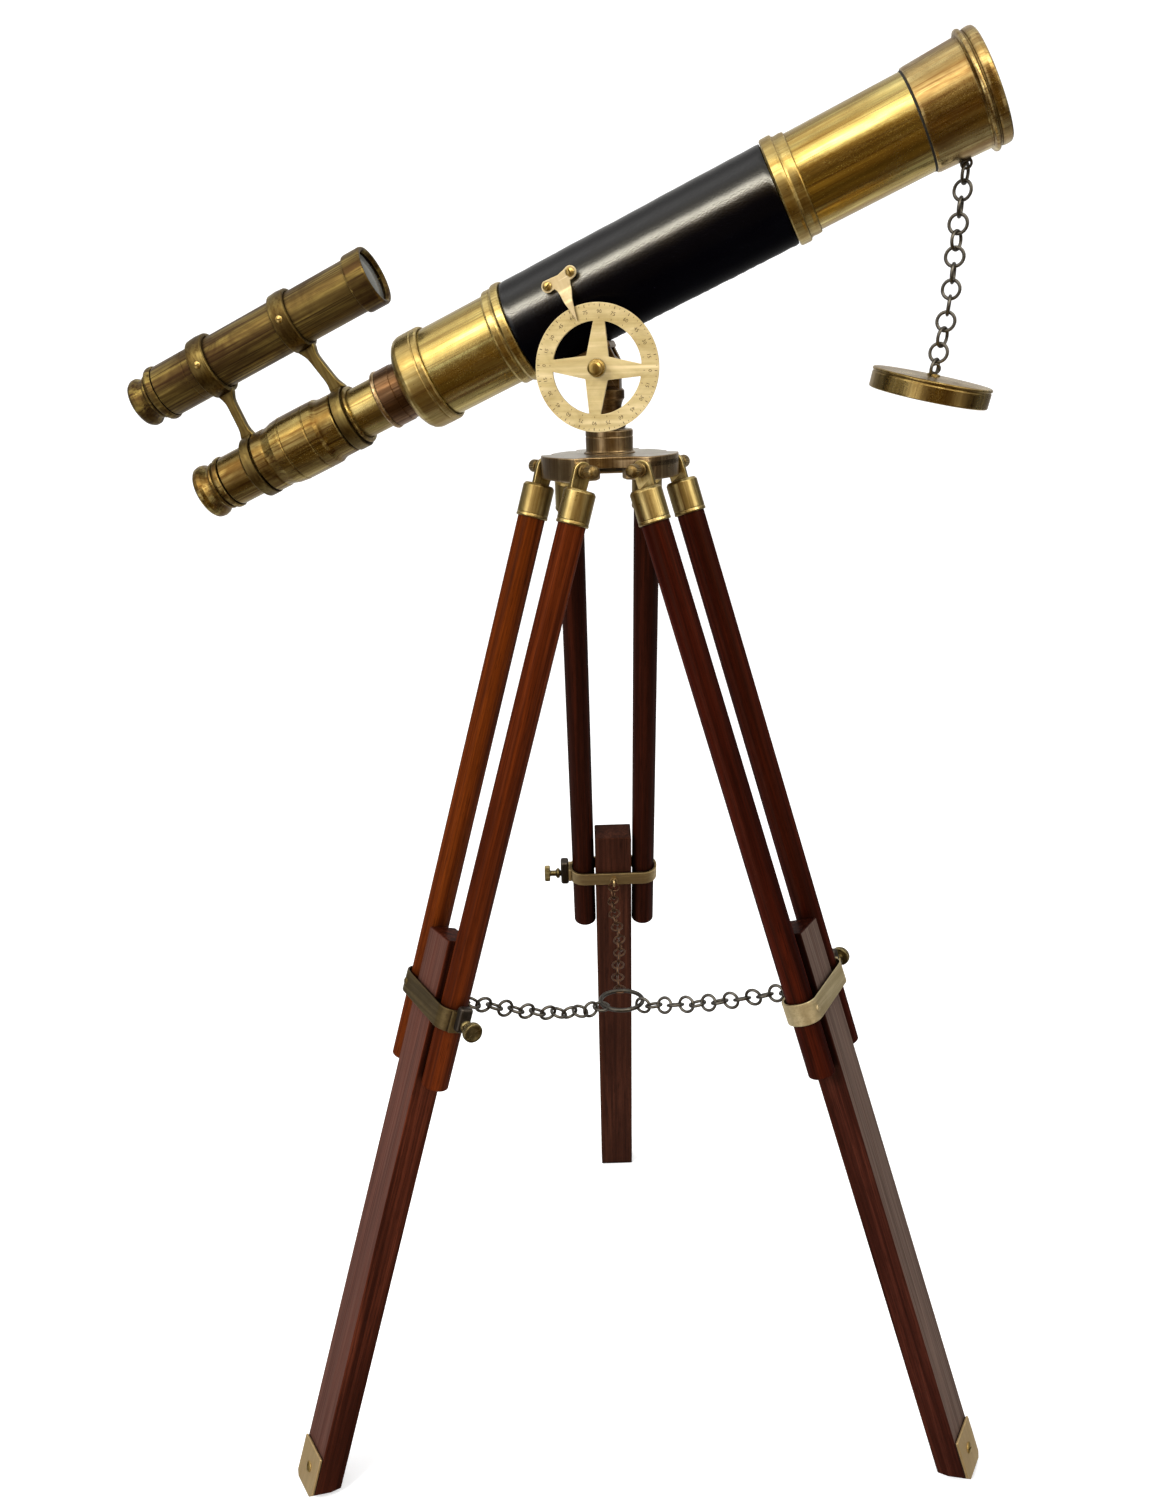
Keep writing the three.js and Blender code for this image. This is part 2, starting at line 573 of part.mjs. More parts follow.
function leg(side) {
  const turn = new THREE.Group();
  turn.rotation.z = LEG_AZ[side] * DEG;
  const hinge = new THREE.Group();
  hinge.position.set(PIVOT_R, 0, PIVOT_Z);
  hinge.rotation.y = -SPLAY;
  turn.add(hinge);
  for (const [tag, sign] of [['a', 1], ['b', -1]]) {
    hinge.add(legRod(`leg_${side}_rod_${tag}`, sign));
    hinge.add(ferrule(`leg_${side}_ferrule_${tag}`, sign));
  }
  hinge.add(
    extensionBar(`leg_${side}_extension_bar`),
    footPlate(`leg_${side}_foot_plate`),
    clampBand(`leg_${side}_clamp_band`),
    clampScrew(`leg_${side}_clamp_screw`),
  );
  turn.add(spreaderChain(`spreader_chain_${side}`), hingeBolt(`hinge_bolt_${side}`));
  return turn;
}

function spreaderRing() {
  const ring = new THREE.TorusGeometry(RING_R, RING_WIRE, 6, 18).translate(0, 0, RING_Z);
  return mesh('spreader_ring', toSolid(ring), 'bronze');
}

// ---------------------------------------------------------------- lens cap
// Both take stand coordinates: the chain's upper end, and the centre of the cap's top.
function capChain(eye, capTop) {
  const last = eye.distanceTo(capTop) - 8.6;
  const strip = linkStrip(eye, capTop, new THREE.Vector3(0.3, 1, 0), 5.0, last);
  return mesh('cap_chain', strip, 'steel');
}

function lensCap(capTop) {
  const cap = mesh('lens_cap', tube([
    [-9.6, 28.4], [-8.8, 29.0], [-0.8, 29.0], [0, 28.2], [0, 2.0], [2.6, 1.6], [2.6, 0],
  ], [[-9.6, 26.0], [-1.6, 25.8], [-1.6, 0]], 'z'), 'brass');
  cap.position.copy(capTop);
  cap.rotation.set(5 * DEG, 12 * DEG, 0);
  return cap;
}

// ---------------------------------------------------------------- assembly
const group = new THREE.Group();
const stand = new THREE.Group();     // everything, before it is centred on its box
const azimuth = new THREE.Group();
const tilt = new THREE.Group();
const barrel = new THREE.Group();
const finder = new THREE.Group();
azimuth.rotation.z = -AZIMUTH;
tilt.position.set(0, 0, TILT_Z);
tilt.rotation.y = -ELEVATION;
barrel.position.set(0, 0, TUBE_H);
finder.position.set(0, 0, FINDER_H);

group.add(stand);
stand.add(headPlate(), azimuth);
azimuth.add(azimuthPost(), spindleNut(), altitudeAxle(), altitudeCircle(),
  altitudeLockKnob(), tilt);
tilt.add(barrel);
barrel.add(mainTube(), leatherSleeve(), frontFlange(), rearFlange(), dewShield(),
  objectiveLens(), rearCap(), tubeSaddle(), altitudePointer(),
  ...POINTER_SCREWS.map(pointerScrew));
barrel.add(drawTube(), eyepieceBarrel(),
  bracket('bracket_rear', [-197.4, -191.6], [-200.4, -188.7], 16.6),
  bracket('bracket_front', [-138.9, -132.7], [-147.8, -136.6], 16.3),
  finder, mainEyepiece(), mainEyeLens());
finder.add(finderBarrel(), finderObjectiveCell(), finderObjectiveLens(), finderEyepiece());
stand.add(leg('left'), leg('right'), leg('back'), spreaderRing());

// The cap hangs from a point under the dew shield.
stand.updateMatrixWorld(true);
const capEye = barrel.localToWorld(new THREE.Vector3(191.0, 0, -26.4));
const capTop = capEye.clone().add(new THREE.Vector3(-10.4, 2.22, -95.59));
stand.add(capChain(capEye, capTop), lensCap(capTop));

// Centre the whole on its bounding box, feet on z = 0.
group.updateMatrixWorld(true);
const { min, max } = new THREE.Box3().setFromObject(group, true);
stand.position.set(-(min.x + max.x) / 2, -(min.y + max.y) / 2, -min.z);
group.updateMatrixWorld(true);

export default group;
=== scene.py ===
# A brass telescope with a finder above it, on a wooden tripod with a chain spreader and a lens
# cap hanging from the dew shield. The stand's axis is vertical and the floor is z = 0. The viewer
# is on the -Y side, the tube rises towards +X. Lengths are millimetres unless a name says
# otherwise, and are scaled to metres when a mesh or a place is made.
import json
import math
import random
from types import SimpleNamespace

import bmesh
import bpy
from mathutils import Matrix, Vector


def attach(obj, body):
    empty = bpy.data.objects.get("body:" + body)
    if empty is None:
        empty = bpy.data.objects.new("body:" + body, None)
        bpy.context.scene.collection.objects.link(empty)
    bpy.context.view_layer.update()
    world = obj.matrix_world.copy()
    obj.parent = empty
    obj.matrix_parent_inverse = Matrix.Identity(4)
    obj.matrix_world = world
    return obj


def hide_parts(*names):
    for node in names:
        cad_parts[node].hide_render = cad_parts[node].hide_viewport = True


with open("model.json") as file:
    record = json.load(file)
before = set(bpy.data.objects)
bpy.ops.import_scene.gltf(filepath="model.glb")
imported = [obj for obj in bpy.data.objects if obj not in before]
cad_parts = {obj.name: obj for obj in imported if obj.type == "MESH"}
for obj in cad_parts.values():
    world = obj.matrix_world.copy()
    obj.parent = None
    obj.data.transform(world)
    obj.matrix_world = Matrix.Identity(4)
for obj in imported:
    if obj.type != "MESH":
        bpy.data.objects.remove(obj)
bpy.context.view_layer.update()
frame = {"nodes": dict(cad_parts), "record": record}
MM = 0.001
DEG = math.pi / 180
random.seed(7)


# ------------------------------------------------------------------ the object's own frames
def shift(x, y, z):
    return Matrix.Translation(Vector((x, y, z)) * MM)


def turn(axis, degrees):
    return Matrix.Rotation(math.radians(degrees), 4, axis)


def basis(x_axis, y_axis, z_axis, origin):
    return Matrix.Translation(origin) @ Matrix((x_axis, y_axis, z_axis)).transposed().to_4x4()


TILT_HEIGHT = 596         # altitude axis above the floor
TUBE_RISE = 35.8          # tube axis above the altitude axis
FINDER_RISE = 57.7        # finder axis above the tube axis
DIAL_OUT = 29.0           # back of the graduated circle, towards the viewer
FIT_RADIUS = 23.5         # bore of the pieces fitted on the main tube
LEG_AZIMUTH = {"back": 90, "left": 210, "right": 330}
SPLAY = 17.95             # degrees off vertical
PIVOT_RADIUS = 28.1
PIVOT_HEIGHT = 547.0
LEG_LENGTH = PIVOT_HEIGHT / math.cos(SPLAY * DEG)

joints = {joint["name"]: joint for joint in frame["record"]["behaviour"]["joints"]}
tilt_pos = joints["altitude_tilt"]["pos_m"]
AXIS_POS = Vector((tilt_pos[0], tilt_pos[1], 0))
STAND = Matrix.Translation(AXIS_POS)
AZIMUTH = STAND @ turn("Z", -11.83)
TUBE = AZIMUTH @ shift(0, 0, TILT_HEIGHT) @ turn("Y", -24) @ shift(0, 0, TUBE_RISE)
FINDER = TUBE @ shift(0, 0, FINDER_RISE)
# local Z of these two points towards the viewer
DIAL = AZIMUTH @ shift(0, -DIAL_OUT, TILT_HEIGHT) @ turn("X", 90)
AXLE = AZIMUTH @ shift(0, 0, TILT_HEIGHT) @ turn("X", 90)


def leg_azimuth(side):
    """Local X points outward from the stand's axis to this leg."""
    return STAND @ turn("Z", LEG_AZIMUTH[side])


def leg_hinge(side):
    return leg_azimuth(side) @ shift(PIVOT_RADIUS, 0, PIVOT_HEIGHT)


def leg_frame(side):
    """Origin on the hinge, Z up along the leg, X outward."""
    return leg_hinge(side) @ turn("Y", -SPLAY)


# ------------------------------------------------------------------ node-tree helpers
class Tree:
    """Adds shader nodes. A value for an input is a number, a tuple (rgb for colours) or a socket."""

    def __init__(self, tree):
        self.tree = tree
        tree.nodes.clear()

    def feed(self, socket, value):
        if isinstance(value, bpy.types.NodeSocket):
            self.tree.links.new(value, socket)
        else:
            socket.default_value = (*value, 1) if socket.type == "RGBA" else value

    def node(self, kind, inputs=None, **props):
        node = self.tree.nodes.new(kind)
        for key, value in props.items():
            setattr(node, key, value)
        for key, value in (inputs or {}).items():
            self.feed(node.inputs[key], value)
        return node

    def calc(self, operation, first, second=0.0, clamp=False):
        inputs = {0: first, 1: second, 2: 0.0}
        node = self.node("ShaderNodeMath", inputs, operation=operation, use_clamp=clamp)
        return node.outputs[0]

    def add(self, first, second, clamp=False):
        return self.calc("ADD", first, second, clamp)

    def sub(self, first, second):
        return self.calc("SUBTRACT", first, second)

    def mul(self, first, second, clamp=False):
        return self.calc("MULTIPLY", first, second, clamp)

    def unit(self, value):
        """Maps -1..1 to 0..1."""
        return self.add(self.mul(value, 0.5), 0.5)

    def ramp(self, factor, stops):
        """stops: (position, grey or rgb)"""
        node = self.node("ShaderNodeValToRGB", {0: factor})
        elements = node.color_ramp.elements
        while len(elements) > 1:
            elements.remove(elements[-1])
        elements[0].position = stops[0][0]
        for i, (position, colour) in enumerate(stops):
            element = elements.new(position) if i else elements[0]
            rgb = (colour,) * 3 if isinstance(colour, (int, float)) else colour
            element.color = (*rgb, 1)
        return node.outputs[0]

    def mix(self, factor, under, over, blend="MIX"):
        inputs = {0: factor, 6: under, 7: over}
        return self.node("ShaderNodeMix", inputs, data_type="RGBA", blend_type=blend).outputs[2]

    def noise(self, place, scale, detail=4.0, rough=0.55, distort=0.0):
        inputs = {"Vector": place, "Scale": scale, "Detail": detail, "Roughness": rough,
                  "Distortion": distort}
        return self.node("ShaderNodeTexNoise", inputs).outputs["Fac"]

    def mapping(self, place, scale=(1, 1, 1), location=(0, 0, 0)):
        inputs = {"Vector": place, "Scale": scale, "Location": location}
        return self.node("ShaderNodeMapping", inputs).outputs[0]

    def bumps(self, *layers):
        """layers: (height, strength, depth in mm), each laid over the one before."""
        normal = None
        for height, strength, depth in layers:
            inputs = {"Height": height, "Strength": strength, "Distance": depth * MM}
            if normal is not None:
                inputs["Normal"] = normal
            normal = self.node("ShaderNodeBump", inputs).outputs[0]
        return normal

    def occlusion(self, samples, reach):
        inputs = {"Distance": reach * MM}
        return self.node("ShaderNodeAmbientOcclusion", inputs, samples=samples).outputs["AO"]

    def separate(self, vector):
        return self.node("ShaderNodeSeparateXYZ", {0: vector}).outputs


MATERIALS = {}


class Surface(Tree):
    """A principled material; place is the object's own position in millimetres."""

    def __init__(self, name, axis="Z", offset=None):
        material = MATERIALS[name] = bpy.data.materials.new(name)
        material.use_nodes = True
        super().__init__(material.node_tree)
        self.axis = axis
        output = self.node("ShaderNodeOutputMaterial")
        self.bsdf = self.node("ShaderNodeBsdfPrincipled")
        self.feed(output.inputs[0], self.bsdf.outputs[0])
        coords = self.node("ShaderNodeTexCoord")
        self.place = self.mapping(coords.outputs["Object"], scale=(1000, 1000, 1000))
        if offset:
            self.place = self.mapping(self.place, location=offset)

    def grain(self, along, across, detail, rough=0.6, distort=0.0):
        """Noise stretched on the grain axis; along and across are its scales per mm."""
        scale = [along if letter == self.axis else across for letter in "XYZ"]
        return self.noise(self.mapping(self.place, scale), 1.0, detail, rough, distort)

    def set(self, values):
        for name, value in values.items():
            self.feed(self.bsdf.inputs[name], value)


def srgb(text):
    """Linear rgb of a hex colour."""
    linear = []
    for i in (1, 3, 5):
        value = int(text[i:i + 2], 16) / 255
        linear.append(value / 12.92 if value <= 0.04045 else ((value + 0.055) / 1.055) ** 2.4)
    return linear


# ------------------------------------------------------------------ metals
def brass(name, bright, mid, dark, axis, rough, streak, blotch, seed,
          dirt_and_shade=0.85, dirt_and_shade_reach=3.0, turned=0.0, metal=1.0):
    """Old brass: tarnish streaks, brown blotches, dirt and painted shade in the corners, rubbed
    edges.
    """
    tree = Surface(name, axis, offset=(seed, seed * 1.7, seed * 0.6))
    broad = tree.grain(along=0.010, across=0.17, detail=5)
    narrow = tree.grain(along=0.016, across=0.55, detail=3)
    cloud = tree.grain(along=0.035, across=0.06, detail=8, rough=0.62, distort=0.6)
    fine = tree.noise(tree.place, scale=0.9, detail=6, rough=0.65)
    streaks = tree.ramp(tree.add(tree.mul(broad, 0.65), tree.mul(narrow, 0.35)),
                        [(0.36, 0.0), (0.50, 0.45), (0.62, 1.0)])
    clean = tree.ramp(cloud, [(0.34, 0.0), (0.52, 0.6), (0.70, 1.0)])
    colour = tree.mix(tree.mul(streaks, 1.0), mid, bright)
    colour = tree.mix(tree.mul(tree.sub(1.0, clean), blotch), colour, dark)
    colour = tree.mix(tree.mul(tree.sub(1.0, streaks), streak), colour, dark)
    lines = tree.ramp(tree.grain(along=0.011, across=0.80, detail=4, rough=0.62, distort=0.3),
                      [(0.53, 0.0), (0.61, 0.85), (0.68, 1.0)])
    colour = tree.mix(tree.mul(lines, min(1.0, streak * 1.25)), colour, dark)
    # dirt and painted shade: near black is mixed in where ambient occlusion finds corners and gaps,
    # broken up by a noise for the dirt
    crevice = tree.ramp(tree.occlusion(samples=6, reach=dirt_and_shade_reach), [(0.45, 1.0), (0.86, 0.0)])
    grime_and_shade = tree.mul(crevice, tree.add(0.55, tree.mul(fine, 0.6)), clamp=True)
    colour = tree.mix(tree.mul(grime_and_shade, dirt_and_shade), colour, (0.018, 0.010, 0.005))
    pointiness = tree.node("ShaderNodeNewGeometry").outputs["Pointiness"]
    edge = tree.ramp(pointiness, [(0.515, 0.0), (0.56, 1.0)])
    rubbed = [min(1, part * gain) for part, gain in zip(bright, (1.25, 1.25, 1.35))]
    colour = tree.mix(tree.mul(edge, 0.55), colour, rubbed)
    # rougher where it is uneven, blotched, lined, or darkened in the corners by dirt and painted
    # shade
    roughness = tree.add(rough, tree.mul(tree.sub(fine, 0.5), 0.22))
    roughness = tree.add(roughness, tree.mul(tree.sub(1.0, clean), 0.16))
    roughness = tree.add(roughness, tree.mul(lines, 0.10 * streak))
    roughness = tree.add(roughness, tree.mul(grime_and_shade, 0.30), clamp=True)
    hairlines = tree.grain(along=0.05, across=3.2, detail=2, rough=0.5)
    lathe_lines = tree.grain(along=4.5, across=0.02, detail=2, rough=0.5)
    dents = tree.noise(tree.place, scale=0.085, detail=3, rough=0.5)
    normal = tree.bumps((hairlines, 0.22, 0.03), (lathe_lines, 0.16 + turned, 0.03),
                        (dents, 0.35, 0.35))
    tree.set({"Base Color": colour, "Metallic": metal, "Roughness": roughness, "Normal": normal})
    return tree


def fade_upward(tree):
    """Painted reflection: greys the faces that look straight up."""
    source = tree.bsdf.inputs["Base Color"].links[0].from_socket
    normal = tree.node("ShaderNodeNewGeometry").outputs["Normal"]
    upward = tree.node("ShaderNodeMapRange", {
        "From Min": 0.90, "From Max": 0.985, "To Max": 0.72, "Value": tree.separate(normal)[2]})
    tree.set({"Base Color": tree.mix(upward.outputs[0], source, (0.60, 0.57, 0.50))})


# name, bright, mid and dark colour, grain axis, roughness, streak, blotch, seed, further settings
BRASSES = [
    ("antique_brass_tube", (0.88, 0.75, 0.30), (0.74, 0.56, 0.16), (0.20, 0.095, 0.022),
     "X", 0.15, 0.60, 0.42, 0, {}),
    ("antique_brass_shield", (0.84, 0.69, 0.32), (0.60, 0.43, 0.15), (0.17, 0.08, 0.026),
     "X", 0.19, 0.50, 0.66, 31, {}),
    ("antique_brass_rings", (0.82, 0.68, 0.29), (0.60, 0.44, 0.14), (0.18, 0.09, 0.024),
     "X", 0.24, 0.34, 0.55, 57, dict(turned=0.2)),
    ("antique_brass_eyepiece", (0.72, 0.58, 0.22), (0.44, 0.31, 0.08), (0.11, 0.052, 0.013),
     "X", 0.22, 0.74, 0.86, 83, {}),
    ("antique_brass_finder", (0.42, 0.31, 0.085), (0.16, 0.100, 0.024), (0.034, 0.013, 0.004),
     "X", 0.34, 0.78, 0.84, 111, dict(metal=0.85)),
    ("antique_brass_arms", (0.34, 0.26, 0.09), (0.18, 0.125, 0.038), (0.055, 0.028, 0.009),
     "Z", 0.32, 0.45, 0.65, 121, dict(turned=0.1)),
    ("antique_brass_copper_tone", (0.42, 0.25, 0.13), (0.17, 0.085, 0.038), (0.05, 0.021, 0.009),
     "X", 0.26, 0.5, 0.6, 131, {}),
    ("antique_brass_pale_bead", (0.80, 0.62, 0.38), (0.56, 0.38, 0.20), (0.16, 0.08, 0.035),
     "X", 0.26, 0.4, 0.5, 137, {}),
    ("antique_brass_ferrule", (0.74, 0.60, 0.27), (0.52, 0.39, 0.14), (0.15, 0.08, 0.024),
     "Z", 0.26, 0.42, 0.50, 17, {}),
    ("satin_brass_circle", (0.76, 0.62, 0.34), (0.56, 0.43, 0.185), (0.26, 0.18, 0.05),
     "X", 0.42, 0.16, 0.70, 7, dict(dirt_and_shade=0.8, dirt_and_shade_reach=1.2, metal=0.45)),
    ("satin_brass_pointer", (0.80, 0.68, 0.42), (0.70, 0.56, 0.31), (0.40, 0.26, 0.11),
     "Z", 0.36, 0.15, 0.34, 23, dict(dirt_and_shade=0.8, dirt_and_shade_reach=1.4, metal=0.6)),
    # one brass for the three clamp bands in per-side copies: the left copy is darkened as painted
    # shade and the right one brightened as painted light
    ("worn_brass_band_left", (0.22, 0.155, 0.060), (0.055, 0.036, 0.012), (0.016, 0.009, 0.004),
     "Y", 0.34, 0.55, 0.75, 41, dict(dirt_and_shade=0.9, metal=0.85)),
    ("worn_brass_band_right", (0.70, 0.59, 0.34), (0.52, 0.41, 0.20), (0.20, 0.13, 0.055),
     "Y", 0.36, 0.40, 0.55, 47, dict(dirt_and_shade=0.9, metal=0.8)),
    ("worn_brass_band_back", (0.66, 0.50, 0.24), (0.30, 0.205, 0.085), (0.08, 0.045, 0.018),
     "Y", 0.28, 0.60, 0.80, 53, dict(dirt_and_shade=0.9, metal=0.9)),
    ("thumb_screw_brass", (0.40, 0.33, 0.16), (0.20, 0.155, 0.07), (0.07, 0.048, 0.022),
     "Y", 0.30, 0.30, 0.55, 73, dict(dirt_and_shade=0.95, dirt_and_shade_reach=1.4)),
    ("worn_brass_foot", (0.62, 0.46, 0.22), (0.42, 0.28, 0.11), (0.16, 0.09, 0.035),
     "Z", 0.36, 0.45, 0.85, 67, dict(dirt_and_shade=0.9, dirt_and_shade_reach=4.0, metal=0.85)),
    ("brass_screws", (0.72, 0.54, 0.20), (0.46, 0.31, 0.09), (0.14, 0.07, 0.02),
     "Y", 0.28, 0.25, 0.45, 71, dict(dirt_and_shade=0.95, dirt_and_shade_reach=1.2)),
    ("brass_hinge_bolts", (0.52, 0.39, 0.17), (0.30, 0.20, 0.07), (0.09, 0.05, 0.02),
     "Y", 0.30, 0.35, 0.6, 151, dict(dirt_and_shade=0.95, dirt_and_shade_reach=2.0)),
    ("antique_brass_cap", (0.68, 0.51, 0.20), (0.42, 0.29, 0.09), (0.12, 0.06, 0.018),
     "Z", 0.22, 0.34, 0.60, 97, {}),
    ("bronzed_head", (0.56, 0.42, 0.24), (0.33, 0.22, 0.11), (0.10, 0.055, 0.025),
     "Z", 0.24, 0.45, 0.60, 19, {}),
    ("bronzed_fork", (0.22, 0.14, 0.065), (0.11, 0.06, 0.025), (0.03, 0.015, 0.007),
     "X", 0.30, 0.35, 0.55, 29, {}),
    ("browned_wire", (0.15, 0.085, 0.05), (0.07, 0.036, 0.022), (0.022, 0.012, 0.008),
     "Z", 0.36, 0.4, 0.6, 9, dict(dirt_and_shade=0.5, dirt_and_shade_reach=1.2)),
    ("dark_steel_wire", (0.16, 0.15, 0.13), (0.075, 0.068, 0.058), (0.02, 0.017, 0.014),
     "Z", 0.36, 0.4, 0.6, 3, dict(dirt_and_shade=0.5, dirt_and_shade_reach=1.2)),
    ("blackened_lug", (0.10, 0.085, 0.07), (0.045, 0.036, 0.03), (0.012, 0.009, 0.008),
     "Z", 0.38, 0.4, 0.6, 13, dict(dirt_and_shade=0.6, dirt_and_shade_reach=1.5)),
]
for *settings, further in BRASSES:
    metal_tree = brass(*settings, **further)
    # the head's top gets a painted grey reflection
    if settings[0] == "bronzed_head":
        fade_upward(metal_tree)


# ------------------------------------------------------------------ wood
def wood(name, light, mid, dark, seed, outer_sheen=None):
    """Varnished dark red hardwood: long grain, pores, a thin coat gone a little uneven."""
    tree = Surface(name, "Z", offset=(seed, seed * 1.3, seed * 2.1))
    broad = tree.grain(along=0.006, across=0.22, detail=6, rough=0.62, distort=0.8)
    fine = tree.grain(along=0.012, across=1.1, detail=4, distort=0.3)
    pores = tree.grain(along=0.10, across=3.6, detail=2)
    cloud = tree.grain(along=0.010, across=0.02, detail=3, rough=0.5)
    colour = tree.ramp(broad, [(0.30, dark), (0.48, mid), (0.66, light), (0.74, mid)])
    colour = tree.mix(tree.ramp(fine, [(0.42, 0.0), (0.60, 0.55)]), colour, dark)
    pore_colour = [part * 0.35 for part in dark]
    colour = tree.mix(tree.ramp(pores, [(0.58, 0.0), (0.66, 0.65)]), colour, pore_colour)
    colour = tree.mix(tree.ramp(cloud, [(0.35, 0.35), (0.65, 0.0)]), colour, dark)
    if outer_sheen:
        # painted sheen: the outward face is mixed towards a paler, greyer colour that stands in for
        # a reflection of the white surroundings
        normal = tree.node("ShaderNodeTexCoord").outputs["Normal"]
        outward = tree.ramp(tree.separate(normal)[0], [(0.80, 0.0), (0.95, 1.0)])
        painted_sheen = tree.mul(outward, tree.ramp(fine, [(0.30, 0.85), (0.62, 0.40)]))
        colour = tree.mix(painted_sheen, colour, outer_sheen)
    # painted shade: near black mixed into the corners and gaps that ambient occlusion finds
    crevice = tree.ramp(tree.occlusion(samples=4, reach=5), [(0.35, 0.75), (0.85, 0.0)])
    colour = tree.mix(crevice, colour, (0.006, 0.003, 0.002))
    facing = tree.node("ShaderNodeLayerWeight", {"Blend": 0.5}).outputs["Facing"]
    varnish = tree.grain(along=0.02, across=0.12, detail=3, rough=0.5)
    tree.set({
        "Base Color": colour,
        "Roughness": tree.add(0.30, tree.mul(fine, 0.18)),
        "Specular IOR Level": tree.ramp(
            facing, [(0.0, 0.10), (0.35, 0.06), (0.60, 0.012), (0.85, 0.002)]),
        "Specular Tint": (1.0, 0.50, 0.26),
        "Coat Weight": 0.02,
        "Coat Roughness": tree.add(0.06, tree.mul(cloud, 0.16)),
        "Normal": tree.bumps((fine, 0.15, 0.12), (pores, 0.25, 0.06)),
        "Coat Normal": tree.bumps((varnish, 0.25, 0.4))})


# name, light, mid and dark colour, seed, colour of the painted sheen on the outward face if it has
# one
# one wood in per-side copies: the right and back rods and bars are darker as painted shade
WOODS = [
    ("rod_left_near", (0.120, 0.0200, 0.0026), (0.064, 0.0098, 0.0014), (0.022, 0.0034, 0.0008), 5),
    ("rod_left_far", (0.150, 0.0290, 0.0026), (0.088, 0.0152, 0.0014), (0.030, 0.0050, 0.0008), 23),
    ("rod_right_near", (0.048, 0.0058, 0.0017), (0.026, 0.0029, 0.0011), (0.009, 0.0011, 0.0006),
     43),
    ("rod_right_far", (0.066, 0.0084, 0.0022), (0.036, 0.0043, 0.0014), (0.011, 0.0014, 0.0008),
     61),
    ("rod_back_a", (0.034, 0.0056, 0.0020), (0.018, 0.0030, 0.0012), (0.007, 0.0013, 0.0007), 79),
    ("rod_back_b", (0.032, 0.0052, 0.0020), (0.017, 0.0028, 0.0012), (0.007, 0.0012, 0.0007), 97),
    ("bar_left", (0.098, 0.0200, 0.0080), (0.044, 0.0080, 0.0030), (0.014, 0.0024, 0.0012), 77,
     (0.082, 0.040, 0.031)),
    ("bar_right", (0.064, 0.0150, 0.0080), (0.030, 0.0058, 0.0032), (0.011, 0.0022, 0.0014), 89,
     (0.150, 0.105, 0.082)),
    ("bar_back", (0.064, 0.0200, 0.0100), (0.038, 0.0110, 0.0058), (0.014, 0.0042, 0.0026), 101),
]
for part, *settings in WOODS:
    wood(f"hardwood_{part}", *settings)


# ------------------------------------------------------------------ leather, glass, small parts
def leather_material():
    tree = Surface("black_leather")
    place = tree.place
    pebbles = tree.node("ShaderNodeTexVoronoi", {"Vector": place, "Scale": 1.25}, feature="F1")
    fine = tree.noise(place, scale=2.6, detail=4, rough=0.6)
    patches = tree.noise(tree.mapping(place, (0.02, 0.05, 0.05)), scale=1.0)
    colour = tree.ramp(patches, [(0.3, (0.0004, 0.0003, 0.0008)), (0.55, (0.0007, 0.0006, 0.0012)),
                                 (0.75, (0.0014, 0.0014, 0.0020))])
    scuffs = tree.noise(tree.mapping(place, (0.12, 0.5, 0.5)), scale=1.0, detail=6, rough=0.7)
    colour = tree.mix(tree.ramp(scuffs, [(0.62, 0.0), (0.80, 0.4)]), colour, (0.004, 0.004, 0.005))
    normal = tree.node("ShaderNodeNewGeometry").outputs["Normal"]
    # shine by how far the surface looks up: a bright streak a little above level
    shine = tree.ramp(tree.unit(tree.separate(normal)[2]), [
        (0.0, 0.002), (0.30, 0.01), (0.475, 0.045), (0.515, 0.12), (0.56, 0.26), (0.60, 0.95),
        (0.64, 0.70), (0.68, 0.20), (0.72, 0.13), (0.78, 0.19), (0.83, 0.11), (0.88, 0.075),
        (0.95, 0.065)])
    ripples = tree.noise(place, scale=0.10, detail=3, rough=0.5)
    tree.set({
        "Base Color": colour,
        "Roughness": tree.add(0.15, tree.mul(fine, 0.12)),
        "IOR": 2.0,
        "Specular IOR Level": shine,
        "Normal": tree.bumps((pebbles.outputs["Distance"], 0.55, 0.10), (fine, 0.40, 0.08),
                             (ripples, 0.25, 0.3))})


def mottled(name, scale, detail, stops, rough, bump_scale, bump_detail, strength, depth, metal=0.0):
    """Two noisy tones and a fine bump; scales are per mm, stops are (position, hex colour)."""
    tree = Surface(name)
    tones = tree.noise(tree.place, scale, detail)
    tree.set({
        "Base Color": tree.ramp(tones, [(position, srgb(text)) for position, text in stops]),
        "Roughness": rough,
        "Metallic": metal,
        "Normal": tree.bumps((tree.noise(tree.place, bump_scale, bump_detail), strength, depth))})


def glass(name, tint, seed, specular, coat):
    tree = Surface(name)
    smear = tree.noise(tree.mapping(tree.place, (0.08, 0.11, 0.09), (seed, 0, 0)),
                       scale=1.0, detail=5, rough=0.6)
    pale = [part * gain for part, gain in zip(tint, (1.35, 1.35, 1.3))]
    tree.set({
        "Base Color": tree.ramp(smear, [(0.3, tint), (0.75, pale)]),
        "Metallic": 0.0,
        "Roughness": tree.add(0.03, tree.mul(smear, 0.08)),
        "IOR": 1.52,
        "Specular IOR Level": specular,
        "Coat Weight": coat,
        "Coat Roughness": 0.03,
        "Coat Tint": (0.85, 0.92, 1.0),
        "Normal": tree.bumps((tree.noise(tree.place, scale=0.4, detail=3), 0.05, 0.05))})


